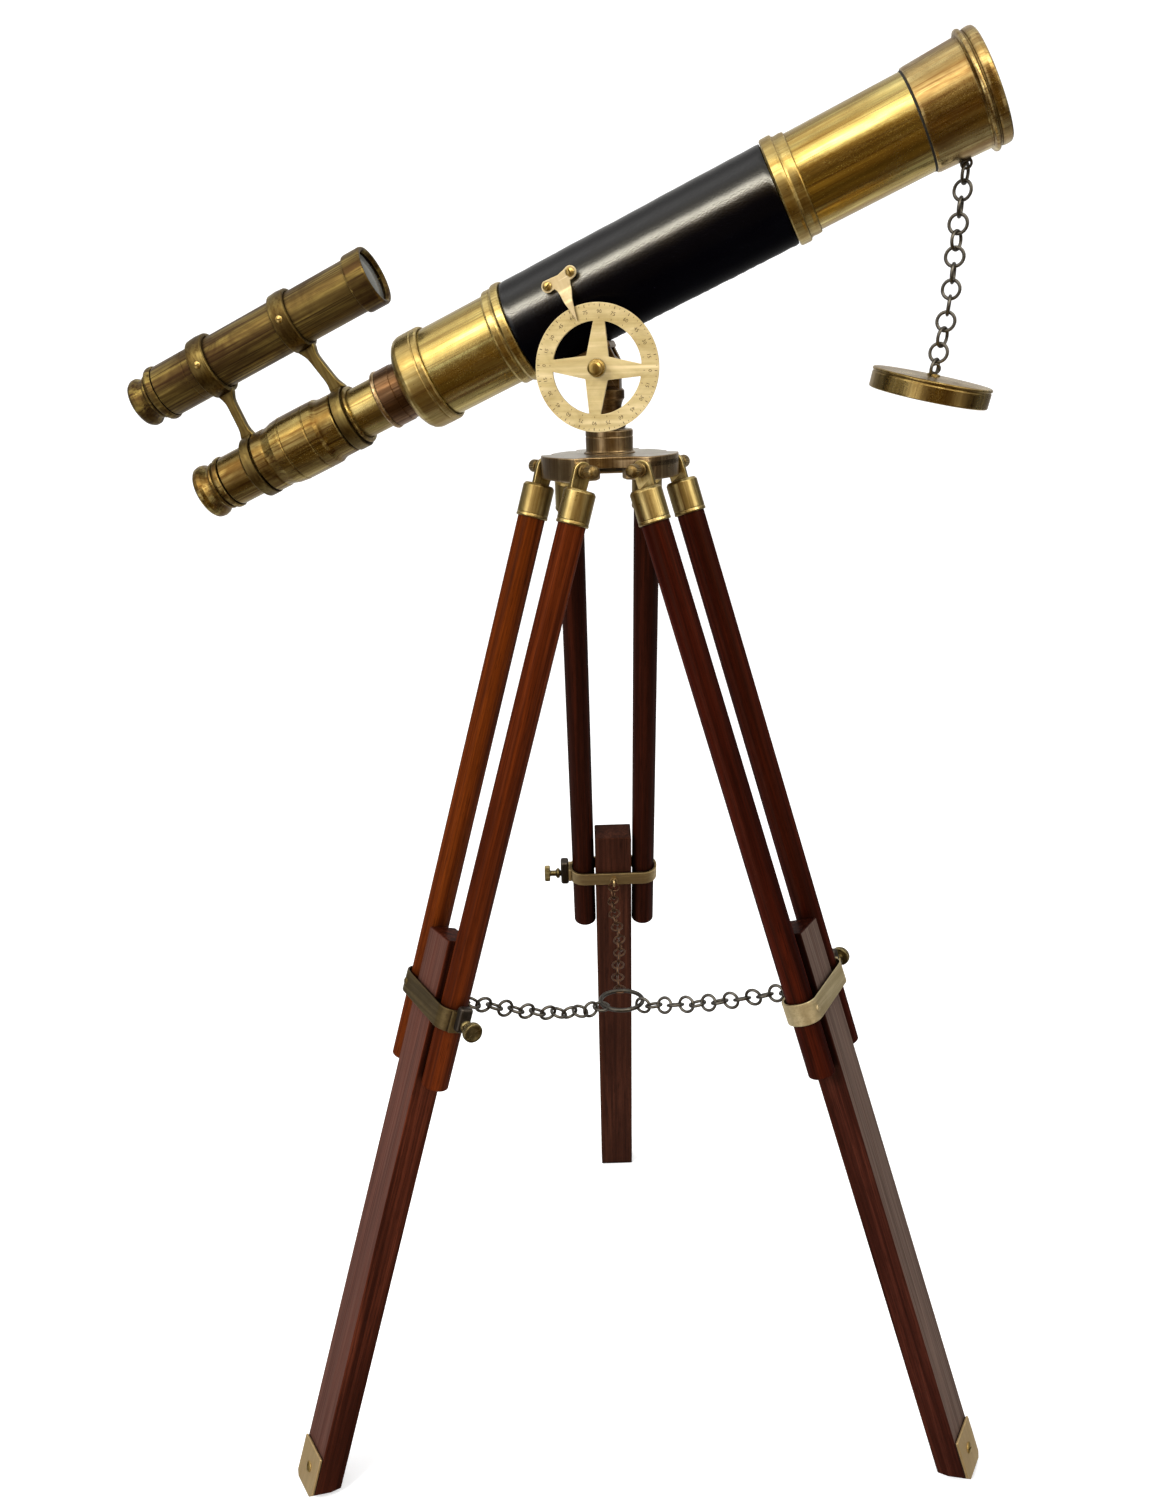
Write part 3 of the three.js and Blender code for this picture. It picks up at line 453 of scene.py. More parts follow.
leather_material()
mottled("waxed_thread", scale=1.5, detail=3, stops=[(0.3, "#0d0d0f"), (0.7, "#26252a")], rough=0.6,
        bump_scale=5.0, bump_detail=2, strength=0.4, depth=0.1)
mottled("engraved_black", scale=2.2, detail=4, stops=[(0.35, "#2a1d0c"), (0.6, "#5d4620")],
        rough=0.6, bump_scale=4.0, bump_detail=2, strength=0.3, depth=0.05, metal=0.2)
# near-black material of the painted shadow ring behind the dew shield
mottled("painted_gap_shadow", scale=0.5, detail=4, stops=[(0.3, "#0a0908"), (0.7, "#1c1814")],
        rough=0.7, bump_scale=1.5, bump_detail=3, strength=0.3, depth=0.2)
glass("lens_grey", (0.125, 0.125, 0.115), seed=0, specular=0.05625, coat=0.0)
glass("lens_deep", srgb("#1d2629"), seed=9, specular=0.9, coat=1.0)


# ------------------------------------------------------------------ mesh helpers
def link(name, data):
    ob = bpy.data.objects.new(name, data)
    bpy.context.scene.collection.objects.link(ob)
    return ob


def put(name, mesh, place, material, body, replaces=None, sharp=34, weighted=True):
    """Makes the object; edges bent more than `sharp` degrees are marked sharp."""
    mesh.name = name
    ob = link(name, mesh)
    bm = bmesh.new()
    bm.from_mesh(mesh)
    bmesh.ops.remove_doubles(bm, verts=bm.verts, dist=2e-7)
    bmesh.ops.dissolve_degenerate(bm, edges=bm.edges, dist=1e-7)
    bmesh.ops.recalc_face_normals(bm, faces=bm.faces)
    for face in bm.faces:
        face.smooth = True
    for edge in bm.edges:
        edge.smooth = not (len(edge.link_faces) == 2 and edge.calc_face_angle(0) > sharp * DEG)
    bm.to_mesh(mesh)
    bm.free()
    mesh.materials.clear()
    mesh.materials.append(MATERIALS[material])
    ob.matrix_world = place
    if weighted:
        modifier = ob.modifiers.new("weighted", "WEIGHTED_NORMAL")
        modifier.keep_sharp = True
        modifier.weight = 60
    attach(ob, body)
    if replaces:
        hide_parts(replaces)


def mesh_from(verts, faces):
    mesh = bpy.data.meshes.new("part")
    mesh.from_pydata([(x * MM, y * MM, z * MM) for x, y, z in verts], [], faces)
    return mesh


def mesh_of(bm):
    mesh = bpy.data.meshes.new("part")
    bm.to_mesh(mesh)
    bm.free()
    return mesh


def moved(mesh, matrix):
    mesh.transform(matrix)
    return mesh


def join(*meshes):
    bm = bmesh.new()
    for mesh in meshes:
        bm.from_mesh(mesh)
    return mesh_of(bm)


def arc(x, y, radius, start, end, steps):
    """Points on an arc, angles in degrees, both ends included."""
    angles = [(start + (end - start) * i / steps) * DEG for i in range(steps + 1)]
    return [(x + radius * math.cos(angle), y + radius * math.sin(angle)) for angle in angles]


def circle(radius, count, x=0, y=0):
    return arc(x, y, radius, 0, 360, count)[:-1]


def fillet(points, rounding=0.3, steps=3, closed=True):
    """Rounds a profile's corners. A point may carry its own radius as a third number."""
    rounded = []
    for i, point in enumerate(points):
        wanted = point[2] if len(point) > 2 else rounding
        corner = Vector(point[:2])
        if (not closed and i in (0, len(points) - 1)) or wanted <= 0:
            rounded.append(corner)
            continue
        back = Vector(points[i - 1][:2]) - corner
        ahead = Vector(points[(i + 1) % len(points)][:2]) - corner
        back_length, ahead_length = back.length, ahead.length
        if back_length < 1e-6 or ahead_length < 1e-6:
            continue
        back, ahead = back / back_length, ahead / ahead_length
        angle = math.acos(max(-1, min(1, back.dot(ahead))))
        if angle > 172 * DEG or angle < 3 * DEG:
            rounded.append(corner)
            continue
        cut = min(wanted / math.tan(angle / 2), 0.46 * back_length, 0.46 * ahead_length)
        radius = cut * math.tan(angle / 2)
        centre = corner + (back + ahead).normalized() * (radius / math.sin(angle / 2))
        first = corner + back * cut - centre
        last = corner + ahead * cut - centre
        sweep = math.atan2(first.x * last.y - first.y * last.x, first.dot(last))
        for k in range(steps + 1):
            cos, sin = math.cos(sweep * k / steps), math.sin(sweep * k / steps)
            rounded.append(centre + Vector((first.x * cos - first.y * sin,
                                            first.x * sin + first.y * cos)))
    return rounded


def revolve(profile, axis="X", segments=96, closed=True, wobble=None):
    """Turns (along, radius) points round an axis; wobble(along, radius, angle) adds to radius."""
    def point(along, across, up):
        return {"X": (along, across, up), "Y": (across, along, up), "Z": (across, up, along)}[axis]

    verts, faces, rows = [], [], []
    for along, radius, *_ in profile:
        if radius < 1e-5:
            rows.append([len(verts)])
            verts.append(point(along, 0, 0))
            continue
        rows.append(list(range(len(verts), len(verts) + segments)))
        for k in range(segments):
            angle = 2 * math.pi * k / segments
            actual = radius + (wobble(along, radius, angle) if wobble else 0)
            verts.append(point(along, actual * math.cos(angle), actual * math.sin(angle)))
    count = len(rows)
    for i in range(count if closed else count - 1):
        near, far = rows[i], rows[(i + 1) % count]
        if len(near) == 1 and len(far) == 1:
            continue
        for k in range(segments):
            k2 = (k + 1) % segments
            if len(near) == 1:
                faces.append((near[0], far[k], far[k2]))
            elif len(far) == 1:
                faces.append((near[k], far[0], near[k2]))
            else:
                faces.append((near[k], far[k], far[k2], near[k2]))
    return mesh_from(verts, faces)


def cylinder(start, end, radius, axis, segments):
    profile = [(start, 0), (start, radius), (end, radius), (end, 0)]
    return revolve(profile, axis, segments, False)


def lathe(name, profile, place, material, body, replaces, axis="X", segments=96,
          rounding=0.35, closed=True, wobble=None):
    mesh = revolve(fillet(profile, rounding, 3, closed), axis, segments, closed, wobble)
    put(name, mesh, place, material, body, replaces)


def lens_dome(start, rise, rim, radii):
    """Profile points of a domed glass face, from near the rim to the centre."""
    return [(start + rise * (1 - (radius / rim) ** 2), radius, 0) for radius in radii]


def slab(outline, depth, holes=(), bevel=0.3, resolution=2):
    """Flat plate with rounded edges: outline in local XY, thickness on Z from 0 to depth."""
    curve = bpy.data.curves.new("slab", "CURVE")
    curve.dimensions = "2D"
    curve.fill_mode = "BOTH"
    for loop in [outline, *holes]:
        spline = curve.splines.new("POLY")
        spline.points.add(len(loop) - 1)
        for point, (x, y) in zip(spline.points, loop):
            point.co = (x, y, 0, 1)
        spline.use_cyclic_u = True
    curve.extrude = depth / 2 - bevel
    curve.bevel_depth = bevel
    curve.bevel_resolution = resolution
    curve.offset = -bevel
    mesh = curve_mesh(curve)
    bm = bmesh.new()
    bm.from_mesh(mesh)
    bmesh.ops.remove_doubles(bm, verts=bm.verts, dist=1e-4)
    bmesh.ops.translate(bm, verts=bm.verts, vec=(0, 0, depth / 2))
    bmesh.ops.scale(bm, verts=bm.verts, vec=(MM, MM, MM))
    bm.to_mesh(mesh)
    bm.free()
    return mesh


def evaluated_mesh(ob):
    depsgraph = bpy.context.evaluated_depsgraph_get()
    return bpy.data.meshes.new_from_object(ob.evaluated_get(depsgraph))


def curve_mesh(curve):
    ob = link("curve", curve)
    mesh = evaluated_mesh(ob)
    bpy.data.objects.remove(ob)
    bpy.data.curves.remove(curve)
    return mesh


def block(*spans, bevel, segments=3):
    """Box with bevelled edges; spans are (low, high) on X, Y and Z."""
    bm = bmesh.new()
    bmesh.ops.create_cube(bm, size=1.0)
    for vert in bm.verts:
        vert.co = Vector([(low + high) / 2 + part * (high - low)
                          for part, (low, high) in zip(vert.co, spans)]) * MM
    bmesh.ops.bevel(bm, geom=bm.edges[:], offset=bevel * MM, segments=segments, profile=0.5,
                    affect="EDGES")
    return mesh_of(bm)


def boolean(mesh, others, operation="DIFFERENCE"):
    """Exact boolean of meshes in one frame, done in millimetres."""
    def clean(part):
        bm = bmesh.new()
        bm.from_mesh(part)
        bmesh.ops.remove_doubles(bm, verts=bm.verts, dist=1e-7)
        bmesh.ops.recalc_face_normals(bm, faces=bm.faces)
        bmesh.ops.scale(bm, verts=bm.verts, vec=(1000, 1000, 1000))
        bm.to_mesh(part)
        bm.free()

    clean(mesh)
    temporary = [link("tmp_a", mesh)]
    for i, other in enumerate(others):
        clean(other)
        temporary.append(link(f"tmp_{i}", other))
        modifier = temporary[0].modifiers.new(f"b{i}", "BOOLEAN")
        modifier.operation = operation
        modifier.solver = "EXACT"
        modifier.object = temporary[-1]
    result = evaluated_mesh(temporary[0])
    for ob in temporary:
        bpy.data.objects.remove(ob)
    return moved(result, Matrix.Scale(MM, 4))


def slotted_screw(name, place, material, body, radius, height, angle, slot_width=0.75,
                  slot_depth=0.7, dome=0.5, replaces=None, shank=None):
    """Slotted head standing on local z = 0, axis +Z; shank is (radius, length)."""
    root = [(-shank[1], 0), (-shank[1], shank[0]), (-0.4, shank[0])] if shank else [(-0.4, 0)]
    profile = root + [(-0.4, radius * 0.96), (height * 0.55, radius), (height, radius * 0.72),
                      (height + dome, 0.0)]
    head = revolve(fillet(profile, 0.25, 2, False), "Z", 36, False)
    groove = block((-radius * 1.5, radius * 1.5), (-slot_width / 2, slot_width / 2),
                   (height + dome - slot_depth, height + 3), bevel=0.05, segments=1)
    put(name, boolean(head, [moved(groove, turn("Z", angle))]), place, material, body,
        replaces)


def knurl(teeth, depth, beyond):
    """Wobble that cuts teeth where the radius is greater than `beyond`."""
    def cut(along, radius, angle):
        return -depth * (0.5 - 0.5 * math.cos(teeth * angle)) if radius > beyond else 0.0
    return cut


def torus(ring_radius, wire_radius, place, around=28, across=10, stretch=1.0):
    """Wire ring round local Z; place is a matrix in millimetres."""
    verts, faces = [], []
    for i in range(around):
        turned = 2 * math.pi * i / around
        for j in range(across):
            angle = 2 * math.pi * j / across
            x = (ring_radius * stretch + wire_radius * math.cos(angle)) * math.cos(turned)
            y = (ring_radius + wire_radius * math.cos(angle)) * math.sin(turned)
            verts.append(place @ Vector((x, y, wire_radius * math.sin(angle))))
            i2, j2 = (i + 1) % around, (j + 1) % across
            faces.append((i * across + j, i * across + j2, i2 * across + j2, i2 * across + j))
    mesh = bpy.data.meshes.new("part")
    mesh.from_pydata([tuple(vert * MM) for vert in verts], [], faces)
    return mesh


def upright_eye(ring_radius, wire_radius, x=0, z=0):
    """Wire ring round the Y axis."""
    place = Matrix.Translation((x, 0, z)) @ Matrix.Rotation(math.pi / 2, 4, "X")
    return torus(ring_radius, wire_radius, place)


def chain(path, side, link_radius, wire_radius, pitch, start_flat, tilt, first, first_turn=0.0):
    """Interlocked wire links along a path; alternate links lie flat along `side`."""
    reached = [0.0]
    for start, end in zip(path, path[1:]):
        reached.append(reached[-1] + (end - start).length)
    total = reached[-1]

    def at(distance):
        distance = max(0.0, min(total - 1e-6, distance))
        i = next(k for k in range(len(path) - 1) if reached[k + 1] >= distance)
        part = (distance - reached[i]) / (reached[i + 1] - reached[i])
        return path[i].lerp(path[i + 1], part), (path[i + 1] - path[i]).normalized()

    count = max(2, round((total - first) / pitch) + 1)
    step = (total - first) / (count - 1)
    links = []
    for i in range(count):
        centre, ahead = at(first + i * step)
        across = side - ahead * side.dot(ahead)
        across.normalize()
        if (i % 2 == 0) != start_flat:
            across = ahead.cross(across)
        angle = (random.random() - 0.5) * 0.5 + tilt + (first_turn if i == 0 else 0.0)
        across = Matrix.Rotation(angle, 3, ahead) @ across
        place = basis(ahead, across, ahead.cross(across), centre)
        links.append(torus(link_radius, wire_radius, place, 24, 8, 1.0 + 0.04 * random.random()))
    return join(*links)


# ------------------------------------------------------------------ main tube and leather
lathe("main_tube_body",
      [(-88, 23.2), (108, 23.2), (122, 23.45), (180, 23.45), (180, 21.7), (-88, 21.7)],
      TUBE, "antique_brass_tube", "tube", "main_tube", segments=160)

LEATHER_START, LEATHER_END = -32.0, 109.0
SEAM_ANGLE = math.radians(-112)       # below, a little away from the viewer
STITCH_ANGLE = 0.075                  # stitches from the seam, radians
STITCH_PITCH = 3.4


def round_tube(along, angle, radius):
    """Point round the tube: angle 0 is the viewer's side (-Y), a quarter turn is up."""
    return Vector((along, -radius * math.cos(angle), radius * math.sin(angle)))


def leather_radius(along, angle, waves):
    from_seam = (angle - SEAM_ANGLE + math.pi) % (2 * math.pi) - math.pi
    radius = 24.75
    radius += (0.05 * math.sin(along * 0.11 + 3 * math.cos(angle))
               + 0.04 * math.sin(along * 0.37 + 2.0 * math.sin(2 * angle + 1)))
    wave = sum(size * math.sin(rate * along + phase) for rate, phase, size in waves) / 4.5
    drift = wave * 0.035
    radius += 0.42 * math.exp(-((from_seam - drift) / 0.035) ** 2) * (0.75 + 0.35 * wave)
    # puckers pulled by the stitches
    pull = 0.5 + 0.5 * math.cos(along * 2 * math.pi / STITCH_PITCH)
    for offset, depth in ((STITCH_ANGLE, 0.30), (-STITCH_ANGLE, 0.22)):
        radius -= depth * math.exp(-((from_seam - drift - offset) / 0.03) ** 2) * pull
    ripple = math.sin(along * 0.9 + 5 * wave)
    radius += 0.18 * math.exp(-((abs(from_seam) - 0.2) / 0.12) ** 2) * ripple
    edge = min(along - LEATHER_START, LEATHER_END - along)
    if edge < 0.8:
        radius -= 0.5 * (1 - edge / 0.8) ** 2
    return radius


def leather_cover():
    steps, around = 150, 208
    draw = random.Random(11).uniform
    waves = [(draw(0.05, 0.5), draw(0, 6.28), draw(0.2, 1.0)) for _ in range(9)]
    stations = [LEATHER_START + (LEATHER_END - LEATHER_START) * (i / steps)
                for i in range(steps + 1)]
    # close rows that hold the rolled edges
    stations[1] = LEATHER_START + 0.35
    stations[-2] = LEATHER_END - 0.35
    angles = [2 * math.pi * k / around for k in range(around)]
    verts = [round_tube(along, angle, leather_radius(along, angle, waves))
             for along in stations for angle in angles]
    inner = len(verts)
    verts += [round_tube(along, angle, FIT_RADIUS)
              for along in (LEATHER_START, LEATHER_END) for angle in angles]
    # first vertex of each pair of rows to be joined: outside, two ends, inside
    pairs = [(i * around, (i + 1) * around) for i in range(steps)]
    pairs += [(0, inner), (steps * around, inner + around), (inner, inner + around)]
    faces = []
    for near, far in pairs:
        for k in range(around):
            k2 = (k + 1) % around
            faces.append((near + k, near + k2, far + k2, far + k))
    put("leather_cover", mesh_from(verts, faces), TUBE, "black_leather", "tube",
        "leather_sleeve", sharp=50)


def leather_stitches():
    profile = [(-1.15, 0), (-0.9, 0.2), (-0.3, 0.27), (0.3, 0.27), (0.9, 0.2), (1.15, 0)]
    angle = SEAM_ANGLE - STITCH_ANGLE
    around = Vector((0, math.sin(angle), math.cos(angle)))
    outward = Vector((0, -math.cos(angle), math.sin(angle)))
    ahead = (Vector((1, 0, 0)) * 0.92 + around * 0.35).normalized()
    stitches = []
    for i in range(40):
        centre = round_tube(LEATHER_START + 3 + i * STITCH_PITCH, angle, 24.9)
        place = basis(ahead, outward.cross(ahead), outward, centre * MM)
        stitches.append(moved(revolve(profile, "X", 8, False), place))
    put("leather_stitches", join(*stitches), TUBE, "waxed_thread", "tube",
        weighted=False)


leather_cover()
leather_stitches()

# ------------------------------------------------------------------ rings, shield, rear cap
# Profiles on the tube are (along the tube, radius, own rounding if any).
lathe("front_ring",
      [(109.3, 25.3), (110.0, 26.0), (113.6, 26.1), (115.0, 25.9), (115.4, 24.9), (116.4, 24.5),
       (118.8, 24.7, 0.8), (120.6, 24.5), (121.0, 23.9), (121.0, FIT_RADIUS),
       (109.3, FIT_RADIUS)],
      TUBE, "antique_brass_rings", "tube", "front_flange", segments=144, rounding=0.3)
lathe("rear_ring",
      [(-42.4, 24.0), (-42.0, 24.6), (-41.2, 24.85), (-38.6, 24.75), (-37.7, 24.3), (-37.2, 24.4),
       (-36.9, 25.4), (-36.0, 25.85), (-33.6, 25.85), (-32.5, 25.5), (-32.3, 24.9),
       (-32.3, FIT_RADIUS), (-42.4, FIT_RADIUS)],
      TUBE, "antique_brass_rings", "tube", "rear_flange", segments=144, rounding=0.3)


def shield_wobble(along, radius, angle):
    if radius < 24.0:
        return 0.0
    wave = 0.06 * math.sin(2 * angle + 0.7) + 0.035 * math.sin(5 * angle + along * 0.12)
    if along > 208.5:
        lip = (along - 208.5) / 5
        wave += 0.07 * math.sin(3 * angle + 1.1) + 0.05 * math.sin(9 * angle) * lip
    return wave


SHIELD = [
    (178.3, 23.7), (178.5, 24.5), (179.8, 24.75),
    *[(179.8 + 23.4 * i / 12, 24.75 + 0.85 * i / 12, 0) for i in range(1, 12)],
    (203.2, 25.6), (204.1, 25.5), (204.4, 26.8), (205.0, 27.9), (205.9, 28.25), (206.8, 27.9),
    (207.3, 26.8), (207.5, 26.3), (208.0, 26.25), (208.3, 26.7), (209.2, 27.0), (211.2, 27.05),
    (212.5, 26.75), (213.2, 26.0), (213.4, 25.0), (213.4, 24.3), (209.5, 24.0), (188.6, 23.9),
    (188.6, 21.6), (186.6, 21.6), (186.6, FIT_RADIUS), (178.3, FIT_RADIUS)]
# painted shadow: a thin near-black ring stands in for the shadow in the gap where the dew shield
# meets the tube
lathe("dew_shield_gap_shadow", [(177.4, 23.3), (177.5, 23.6), (178.5, 23.8), (178.6, 23.3)],
      TUBE, "painted_gap_shadow", "tube", "dew_shield", segments=128, rounding=0.1)
lathe("dew_shield_body", SHIELD, TUBE, "antique_brass_shield", "tube", "dew_shield",
      segments=160, rounding=0.4, wobble=shield_wobble)
lathe("objective_glass",
      [(180.6, 0), (180.6, 22.7), (181.0, 22.9), (183.3, 22.9), (183.6, 22.6)]
      + lens_dome(183.6, 2.7, 22.6, (20, 17, 14, 11, 8, 5, 2.5, 0)),
      TUBE, "lens_deep", "tube", "objective_lens", closed=False, rounding=0.2)
lathe("rear_cap_body",
      [(-115.0, 14.2), (-114.2, 14.7), (-112.6, 14.7), (-112.0, 14.4), (-100.4, 14.4),
       (-99.6, 14.8), (-99.2, 16.0, 0.3), (-98.6, 18.2, 0.5), (-97.6, 20.8, 0.6),
       (-96.2, 23.0, 0.8), (-94.6, 24.5, 0.8), (-92.8, 25.1, 0.6), (-91.6, 25.25), (-84.6, 25.3),
       (-84.2, 25.0), (-83.7, 25.0), (-83.4, 25.3), (-81.4, 25.2), (-80.6, 24.7), (-80.5, 24.2),
       (-80.5, FIT_RADIUS), (-89.0, FIT_RADIUS), (-93.4, 22.4), (-95.8, 19.0), (-97.6, 13.7),
       (-115.0, 13.7)],
      TUBE, "antique_brass_rings", "tube", "rear_cap", segments=144)
# a coppery collar on the neck of the rear cap, with a pale bead at its end
lathe("rear_cap_neck_collar",
      [(-112.3, 14.7), (-112.0, 15.3), (-104.2, 15.35), (-103.8, 14.95), (-99.5, 14.95),
       (-99.0, 15.6), (-98.9, 14.6), (-112.3, 14.5)],
      TUBE, "antique_brass_copper_tone", "tube", "rear_cap", rounding=0.2)
lathe("rear_cap_neck_bead",
      [(-114.9, 14.5), (-114.7, 15.3, 0.2), (-114.0, 15.8, 0.3), (-113.0, 15.7, 0.3),
       (-112.4, 15.1, 0.2), (-112.35, 14.5)],
      TUBE, "antique_brass_pale_bead", "tube", "rear_cap", rounding=0.2)


# ------------------------------------------------------------------ fork under the tube
EYE_RADIUS = 6.5          # round ends of the fork and of the post's tongue
AXLE_HOLE = circle(3.1, 30)


def tube_fork():
    saddle = block((-20, 7.0), (-9.5, 9.5), (-28.2, -24.6), bevel=0.9)
    outline = [(-9.0, 9.9), (-7.6, 7.0), (-6.6, 3.0), *arc(0, 0, -EYE_RADIUS, 0, 180, 15),
               (6.5, 3.0), (6.3, 7.0), (6.2, 9.9)]
    cheeks = [moved(slab(outline, 3.6, [AXLE_HOLE], 0.45, 3),
                    shift(0, y, -TUBE_RISE) @ turn("X", 90)) for y in (8.0, -4.4)]
    put("tube_fork", boolean(saddle, cheeks, "UNION"), TUBE, "bronzed_fork", "tube",
        "tube_saddle")


tube_fork()

# ------------------------------------------------------------------ pointer
POINTER_EYES = [(-6.3, 9.1), (6.6, 10.2)]     # (x, z) of its two screws
POINTER_BACK = 25.6                           # back of the plate, towards the viewer
POINTER_TIP_BACK = 31.3                       # the same below the crank


def pointer():
    """Plate round two screws, its stem cranked towards the viewer and drawn to a long point."""
    outline = [
        *arc(*POINTER_EYES[0], 3.05, 108, 292, 14),
        (-3.6, 6.4), (-2.9, 5.0), (-2.1, 1.6), (-1.3, -1.6), (-0.5, -5.0), (0.2, -8.4),
        (0.75, -12.1), (0.98, -12.1), (1.7, -8.4), (2.5, -5.0), (3.2, -1.6), (3.8, 1.6),
        (4.3, 5.0), (5.0, 6.9),
        *arc(*POINTER_EYES[1], 3.05, -82, 100, 14),
        (3.6, 12.4), (0.4, 11.6), (-3.0, 11.8)]
    mesh = slab(outline[::-1], 1.3, [circle(1.55, 18, x, y) for x, y in POINTER_EYES], 0.32, 2)
    bm = bmesh.new()
    bm.from_mesh(mesh)
    # cut across so that the crank can bend
    for i in range(-17, 16):
        bmesh.ops.bisect_plane(bm, geom=bm.verts[:] + bm.edges[:] + bm.faces[:],
                               plane_co=(0, i * 0.7 * MM, 0), plane_no=(0, 1, 0))
    for vert in bm.verts:
        across, height, depth = vert.co.x / MM, vert.co.y / MM, vert.co.z / MM
        bend = max(0.0, min(1.0, (4.4 - height) / 7.4))
        bend = bend * bend * (3 - 2 * bend)
        y = -POINTER_BACK - bend * (POINTER_TIP_BACK - POINTER_BACK) - depth
        vert.co = Vector((across, y, height)) * MM
    bmesh.ops.recalc_face_normals(bm, faces=bm.faces)
    bm.to_mesh(mesh)
    bm.free()
    put("pointer_plate", mesh, TUBE, "satin_brass_pointer", "tube",
        "altitude_pointer", sharp=40)


pointer()
for i, (x, z) in enumerate(POINTER_EYES):
    slotted_screw(f"pointer_screw_head_{i + 1}", TUBE @ shift(x, -26.9, z) @ turn("X", 90),
                  "brass_screws", "tube", radius=2.2, height=0.9, angle=25 + 70 * i,
                  replaces=f"pointer_screw_{i + 1}", shank=(1.3, 5.8))

# ------------------------------------------------------------------ draw tube, eyepiece barrel
lathe("draw_tube_body", [(-150.2, 13.4), (-60, 13.4), (-60, 12.3), (-150.2, 12.3)],
      TUBE, "antique_brass_eyepiece", "draw_section", "draw_tube", segments=112, rounding=0.3)
BARREL = [
    (-214.4, 13.2), (-213.8, 13.75), (-199.2, 13.75), (-198.6, 14.2), (-198.0, 15.0),
    (-190.9, 15.0), (-190.6, 16.1), (-190.0, 16.5), (-184.6, 16.5, 0.4), (-183.6, 16.1, 0.4),
    (-181.6, 16.4, 0.8), (-178.0, 17.4, 1.4), (-173.4, 17.9), (-172.4, 17.9), (-172.0, 17.5),
    (-171.6, 17.5), (-171.2, 17.9), (-157.4, 17.9), (-157.0, 17.5), (-156.5, 17.5),
    (-156.1, 17.9), (-151.4, 17.8, 0.8), (-149.4, 16.8, 0.6), (-147.8, 16.5), (-140.6, 16.4),
    (-140.0, 15.9), (-139.5, 15.0), (-132.2, 15.0), (-131.8, 15.6), (-131.0, 15.9),
    (-130.2, 15.5), (-130.0, 13.7), (-150.5, 13.7), (-150.5, 12.0), (-214.4, 12.0)]


def barrel_wobble(along, radius, angle):
    """Broad, shallow hand-filed flats."""
    if radius < 14.5:
        return 0.0
    return 0.10 * math.sin(4 * angle + along * 0.02) + 0.06 * math.sin(7 * angle + along * 0.05)


lathe("eyepiece_barrel_body", BARREL, TUBE, "antique_brass_eyepiece", "draw_section",
      "eyepiece_barrel", segments=128, rounding=0.3, wobble=barrel_wobble)


def bracket(node, low, top, top_radius, slim, lean):
    """Ring on the barrel and ring round the finder, joined by a strut; low and top are spans
    along the tube, slim is the strut's half width and lean its shift along the tube."""
    low_start, low_end = low
    start, end = top
    low_ring = revolve(fillet(
        [(low_start, 16.2), (low_start + 0.3, 16.9), (low_end - 0.3, 16.9), (low_end, 16.2),
         (low_end, 15.3), (low_start, 15.3)], 0.35, 3), "X", 112)
    low_mid, top_mid = (low_start + low_end) / 2, (start + end) / 2
    top_ring = revolve(fillet(
        [(start, top_radius - 0.9), (start + 0.5, top_radius - 0.1), (start + 1.6, top_radius),
         (top_mid, top_radius + 0.25, 0), (end - 1.6, top_radius), (end - 0.5, top_radius - 0.1),
         (end, top_radius - 0.9), (end, 14.3), (start, 14.3)], 0.4, 3), "X", 112)
    moved(top_ring, shift(0, 0, FINDER_RISE))
    # the strut is slim in the middle and flares where it meets the rings
    bottom_height, top_height = 15.9, FINDER_RISE - top_radius + 1.1
    left, right = [], []
    steps = 16
    for i in range(steps + 1):
        part = i / steps
        height = bottom_height + (top_height - bottom_height) * part
        middle = low_mid + (top_mid - low_mid) * part
        width = (slim + 1.5 * math.exp(-(part / 0.13) ** 2)
                 + 2.2 * math.exp(-((1 - part) / 0.14) ** 2))
        left.append((middle + lean - width, height))
        right.append((middle + lean + width, height))
    strut = moved(slab(right + left[::-1], 4.6, (), 0.9, 3), shift(0, 2.3, 0) @ turn("X", 90))
    put(f"{node}_arm", boolean(low_ring, [strut, top_ring], "UNION"), TUBE,
        "antique_brass_arms", "draw_section", node)
    # small screw on the viewer's side of the finder ring
    place = TUBE @ shift(top_mid, -top_radius - 0.15, FINDER_RISE + 0.6) @ turn("X", 90)
    slotted_screw(f"{node}_arm_screw", place, "brass_screws", "draw_section",
                  radius=2.0, height=0.55, slot_width=0.6, slot_depth=0.5,
                  angle=35 + top_mid * 3, dome=0.35)


bracket("bracket_rear", low=(-197.4, -191.6), top=(-199.6, -189.4), top_radius=16.5, slim=2.5,
        lean=0.5)
bracket("bracket_front", low=(-138.9, -132.7), top=(-147.0, -137.2), top_radius=16.2, slim=2.9,
        lean=0.6)

